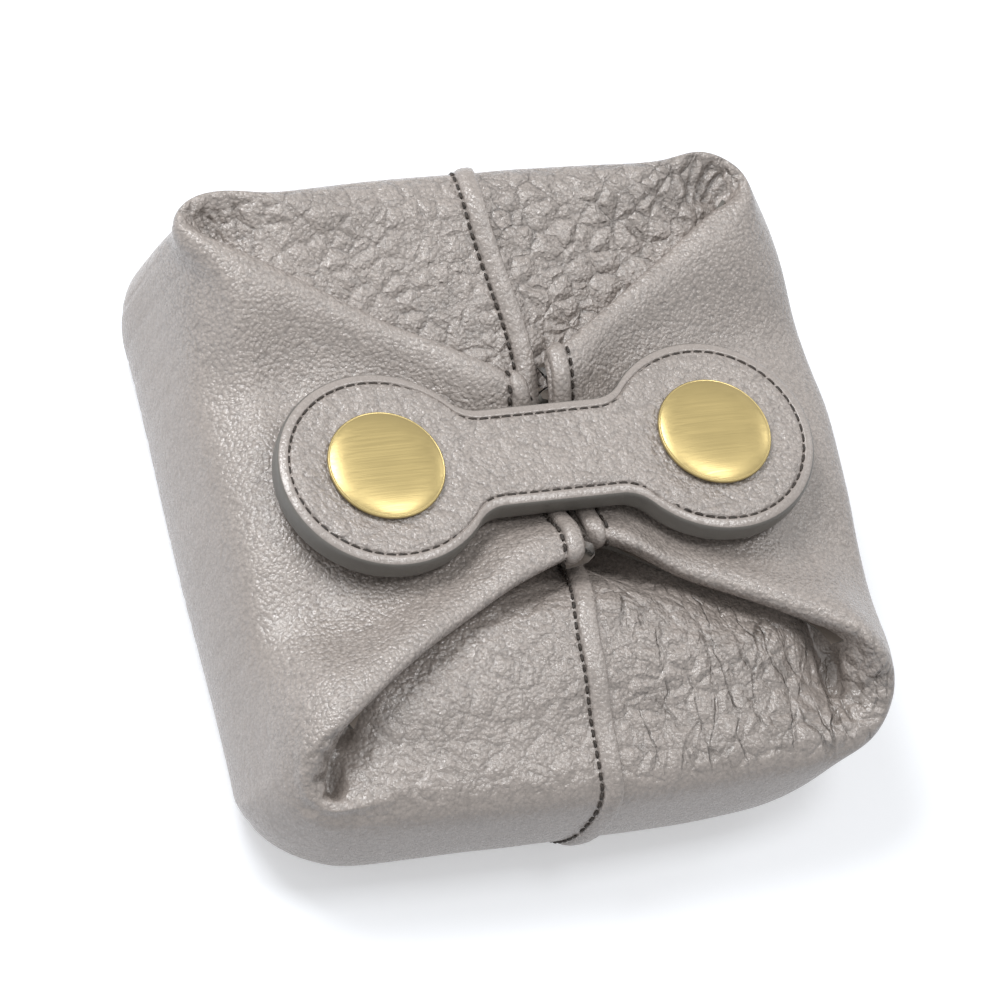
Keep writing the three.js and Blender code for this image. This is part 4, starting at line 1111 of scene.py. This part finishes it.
# A gusset corner's place inside the gusset's border, in columns.
CORNER_TACK = 0.1
# The ring column from which each corner's columns are counted, and which way.
RING_COLUMN = {
    ("top", "right"): (0, 1), ("top", "left"): (24, -1), ("bottom", "left"): (24, 1), ("bottom", "right"): (48, -1)}


def corner_grid(end, side, column, crease, drop, lift):
    """Points between the border of a flap or gusset, at the given column, and a crease: straight lines that fall off at
    once by a power of the way across."""
    start, way = RING_COLUMN[end, side]
    edge, normal = leather_points(CORNER_ROWS, start + way * column)
    edge = edge + lift * normal
    t = np.linspace(0, 1, len(CORNER_ROWS))[:, None]
    far = (crease[0] + (crease[1] - crease[0]) * t) * (SIGN[side], SIGN[end], 1)
    u = np.linspace(0, 1, CORNER_POINTS)[None, :, None]
    grid = edge[:, None] + (far - edge)[:, None] * u
    grid[..., 2] = edge[:, None, 2] + (far - edge)[:, None, 2] * (1 - (1 - u[..., 0]) ** drop)
    return grid


def corner_piece(node, grid, up):
    """A thin sheet over a corner's grid, its grain side turned up or down."""
    normal = grid_normals(grid)
    if normal[..., 2].mean() * up < 0:
        grid, normal = grid[:, ::-1], -normal[:, ::-1]
    return sheet_piece(f"{node}_sheet", grid, normal, np.full(grid.shape[:2], CORNER_THICK), BAND_GRAIN)


class POUCH_OT_folds(bpy.types.Operator):
    """The leather that turns under at the four corners: a corner fold and a gusset corner each"""
    bl_idname = "pouch.folds"
    bl_label = "Corner folds"

    def execute(self, context):
        for end, side in CORNERS:
            node = f"{end}_{side}_fold"
            grid = corner_grid(end, side, SPLIT - CORNERS[end, side]["tack"], FOLD_CREASE, FOLD_DROP, FOLD_LIFT)
            piece = corner_piece(node, grid, -1)
            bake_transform(piece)
            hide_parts(node)
            node = f"{end}_{side}_gusset_corner"
            grid = corner_grid(end, side, SPLIT + CORNER_TACK, CORNER_CREASE, CORNER_DROP, CORNER_LIFT)
            piece = corner_piece(node, grid, 1)
            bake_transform(piece)
            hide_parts(node)
        return {"FINISHED"}


# Camera fitted to the photograph: where it stands, in millimetres, and its sideways and backward directions.
EYE = np.array((-199.6, -243.9, 493.2))
RIGHT = np.array((0.9337, -0.2511, 0.2552))
BACK = np.array((-0.3435, -0.4274, 0.8362))
# Half the floor's side, in metres. The lamps: place, width and share of the key light's power; all aim at one point.
FLOOR_HALF = 3.0
LAMPS = {
    "key_softbox": ((-0.19, 0.22, 0.44), 0.22, 1.0),
    "left_softbox": ((-0.7, 0.1, 0.5), 0.9, 0.5),
    "top_softbox": ((0.13, -0.01, 0.52), 0.16, 0.42),
    "rim_lamp": ((0.42, 0.16, 0.3), 0.12, 0.1),
}
AIM = np.array((0, 0, 0.02))


class POUCH_OT_stage(bpy.types.Operator):
    """Floor, lights, world and camera"""
    bl_idname = "pouch.stage"
    bl_label = "Stage"

    def execute(self, context):
        s = context.scene.pouch_stage
        scene = context.scene
        scene.view_settings.view_transform = "Standard"
        low = min(0.0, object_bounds()[0].z) - 0.00005
        mesh = bpy.data.meshes.new("floor")
        corners = [(-1, -1), (1, -1), (1, 1), (-1, 1)]
        mesh.from_pydata([(x * FLOOR_HALF, y * FLOOR_HALF, low) for x, y in corners], [], [(0, 1, 2, 3)])
        mesh.materials.append(finish("matt_white_board"))
        floor = bpy.data.objects.new("floor", mesh)
        scene.collection.objects.link(floor)
        floor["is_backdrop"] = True
        world = bpy.data.worlds.new("studio")
        scene.world = world
        world.use_nodes = True
        world.node_tree.nodes.clear()
        level = remap(world, seen_rays(world), (0.0, 1.0), (s.fill, 1.0))
        add(world, "OutputWorld", {"Surface": add(world, "Background", {"Color": WHITE, "Strength": level})[0]})
        for name, (place, size, share) in LAMPS.items():
            lamp = bpy.data.lights.new(name, "AREA")
            lamp.shape, lamp.size, lamp.energy = "SQUARE", size, share * s.key
            obj = bpy.data.objects.new(name, lamp)
            scene.collection.objects.link(obj)
            obj.location = place
            obj.rotation_mode = "QUATERNION"
            obj.rotation_quaternion = Vector(AIM - place).to_track_quat("-Z", "Y")
        camera = bpy.data.objects.new("camera", bpy.data.cameras.new("camera"))
        scene.collection.objects.link(camera)
        camera.data.lens, camera.data.sensor_width = s.lens, 36.0
        camera.data.clip_start, camera.data.clip_end = 0.01, 20.0
        right, back = unit(RIGHT), unit(BACK)
        up = np.cross(back, right)
        place = np.eye(4)
        place[:3] = np.column_stack([right, up, back, EYE * MM])
        camera.matrix_world = Matrix(place.tolist())
        scene.camera = camera
        return {"FINISHED"}


class POUCH_PT_sidebar(bpy.types.Panel):
    """Lists the pouch's pieces and their settings"""
    bl_idname = "POUCH_PT_sidebar"
    bl_label = "Leather pouch"
    bl_space_type = "VIEW_3D"
    bl_region_type = "UI"
    bl_category = "Pouch"

    def draw(self, context):
        for operator in OPERATORS:
            self.layout.operator(operator.bl_idname)
        for name, group in GROUPS.items():
            box = self.layout.box()
            for key in group.__annotations__:
                box.prop(getattr(context.scene, name), key)


GROUPS = {
    "pouch_leather": LeatherSettings, "pouch_strap": StrapSettings, "pouch_metal": MetalSettings,
    "pouch_stage": StageSettings}
OPERATORS = (
    POUCH_OT_walls, POUCH_OT_flaps, POUCH_OT_gussets, POUCH_OT_seam, POUCH_OT_hems, POUCH_OT_strap, POUCH_OT_caps,
    POUCH_OT_snap, POUCH_OT_folds, POUCH_OT_stage)
CLASSES = (*GROUPS.values(), *OPERATORS, POUCH_PT_sidebar)


def register():
    for cls in CLASSES:
        bpy.utils.register_class(cls)
    for key, group in GROUPS.items():
        setattr(bpy.types.Scene, key, PointerProperty(type=group))


def unregister():
    for key in GROUPS:
        delattr(bpy.types.Scene, key)
    for cls in reversed(CLASSES):
        bpy.utils.unregister_class(cls)


def main():
    """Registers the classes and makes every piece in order."""
    register()
    bpy.ops.pouch.walls()
    bpy.ops.pouch.flaps()
    bpy.ops.pouch.gussets()
    bpy.ops.pouch.seam()
    bpy.ops.pouch.hems()
    bpy.ops.pouch.strap()
    bpy.ops.pouch.caps()
    bpy.ops.pouch.snap()
    bpy.ops.pouch.folds()
    bpy.ops.pouch.stage()


if __name__ == "__main__":
    main()
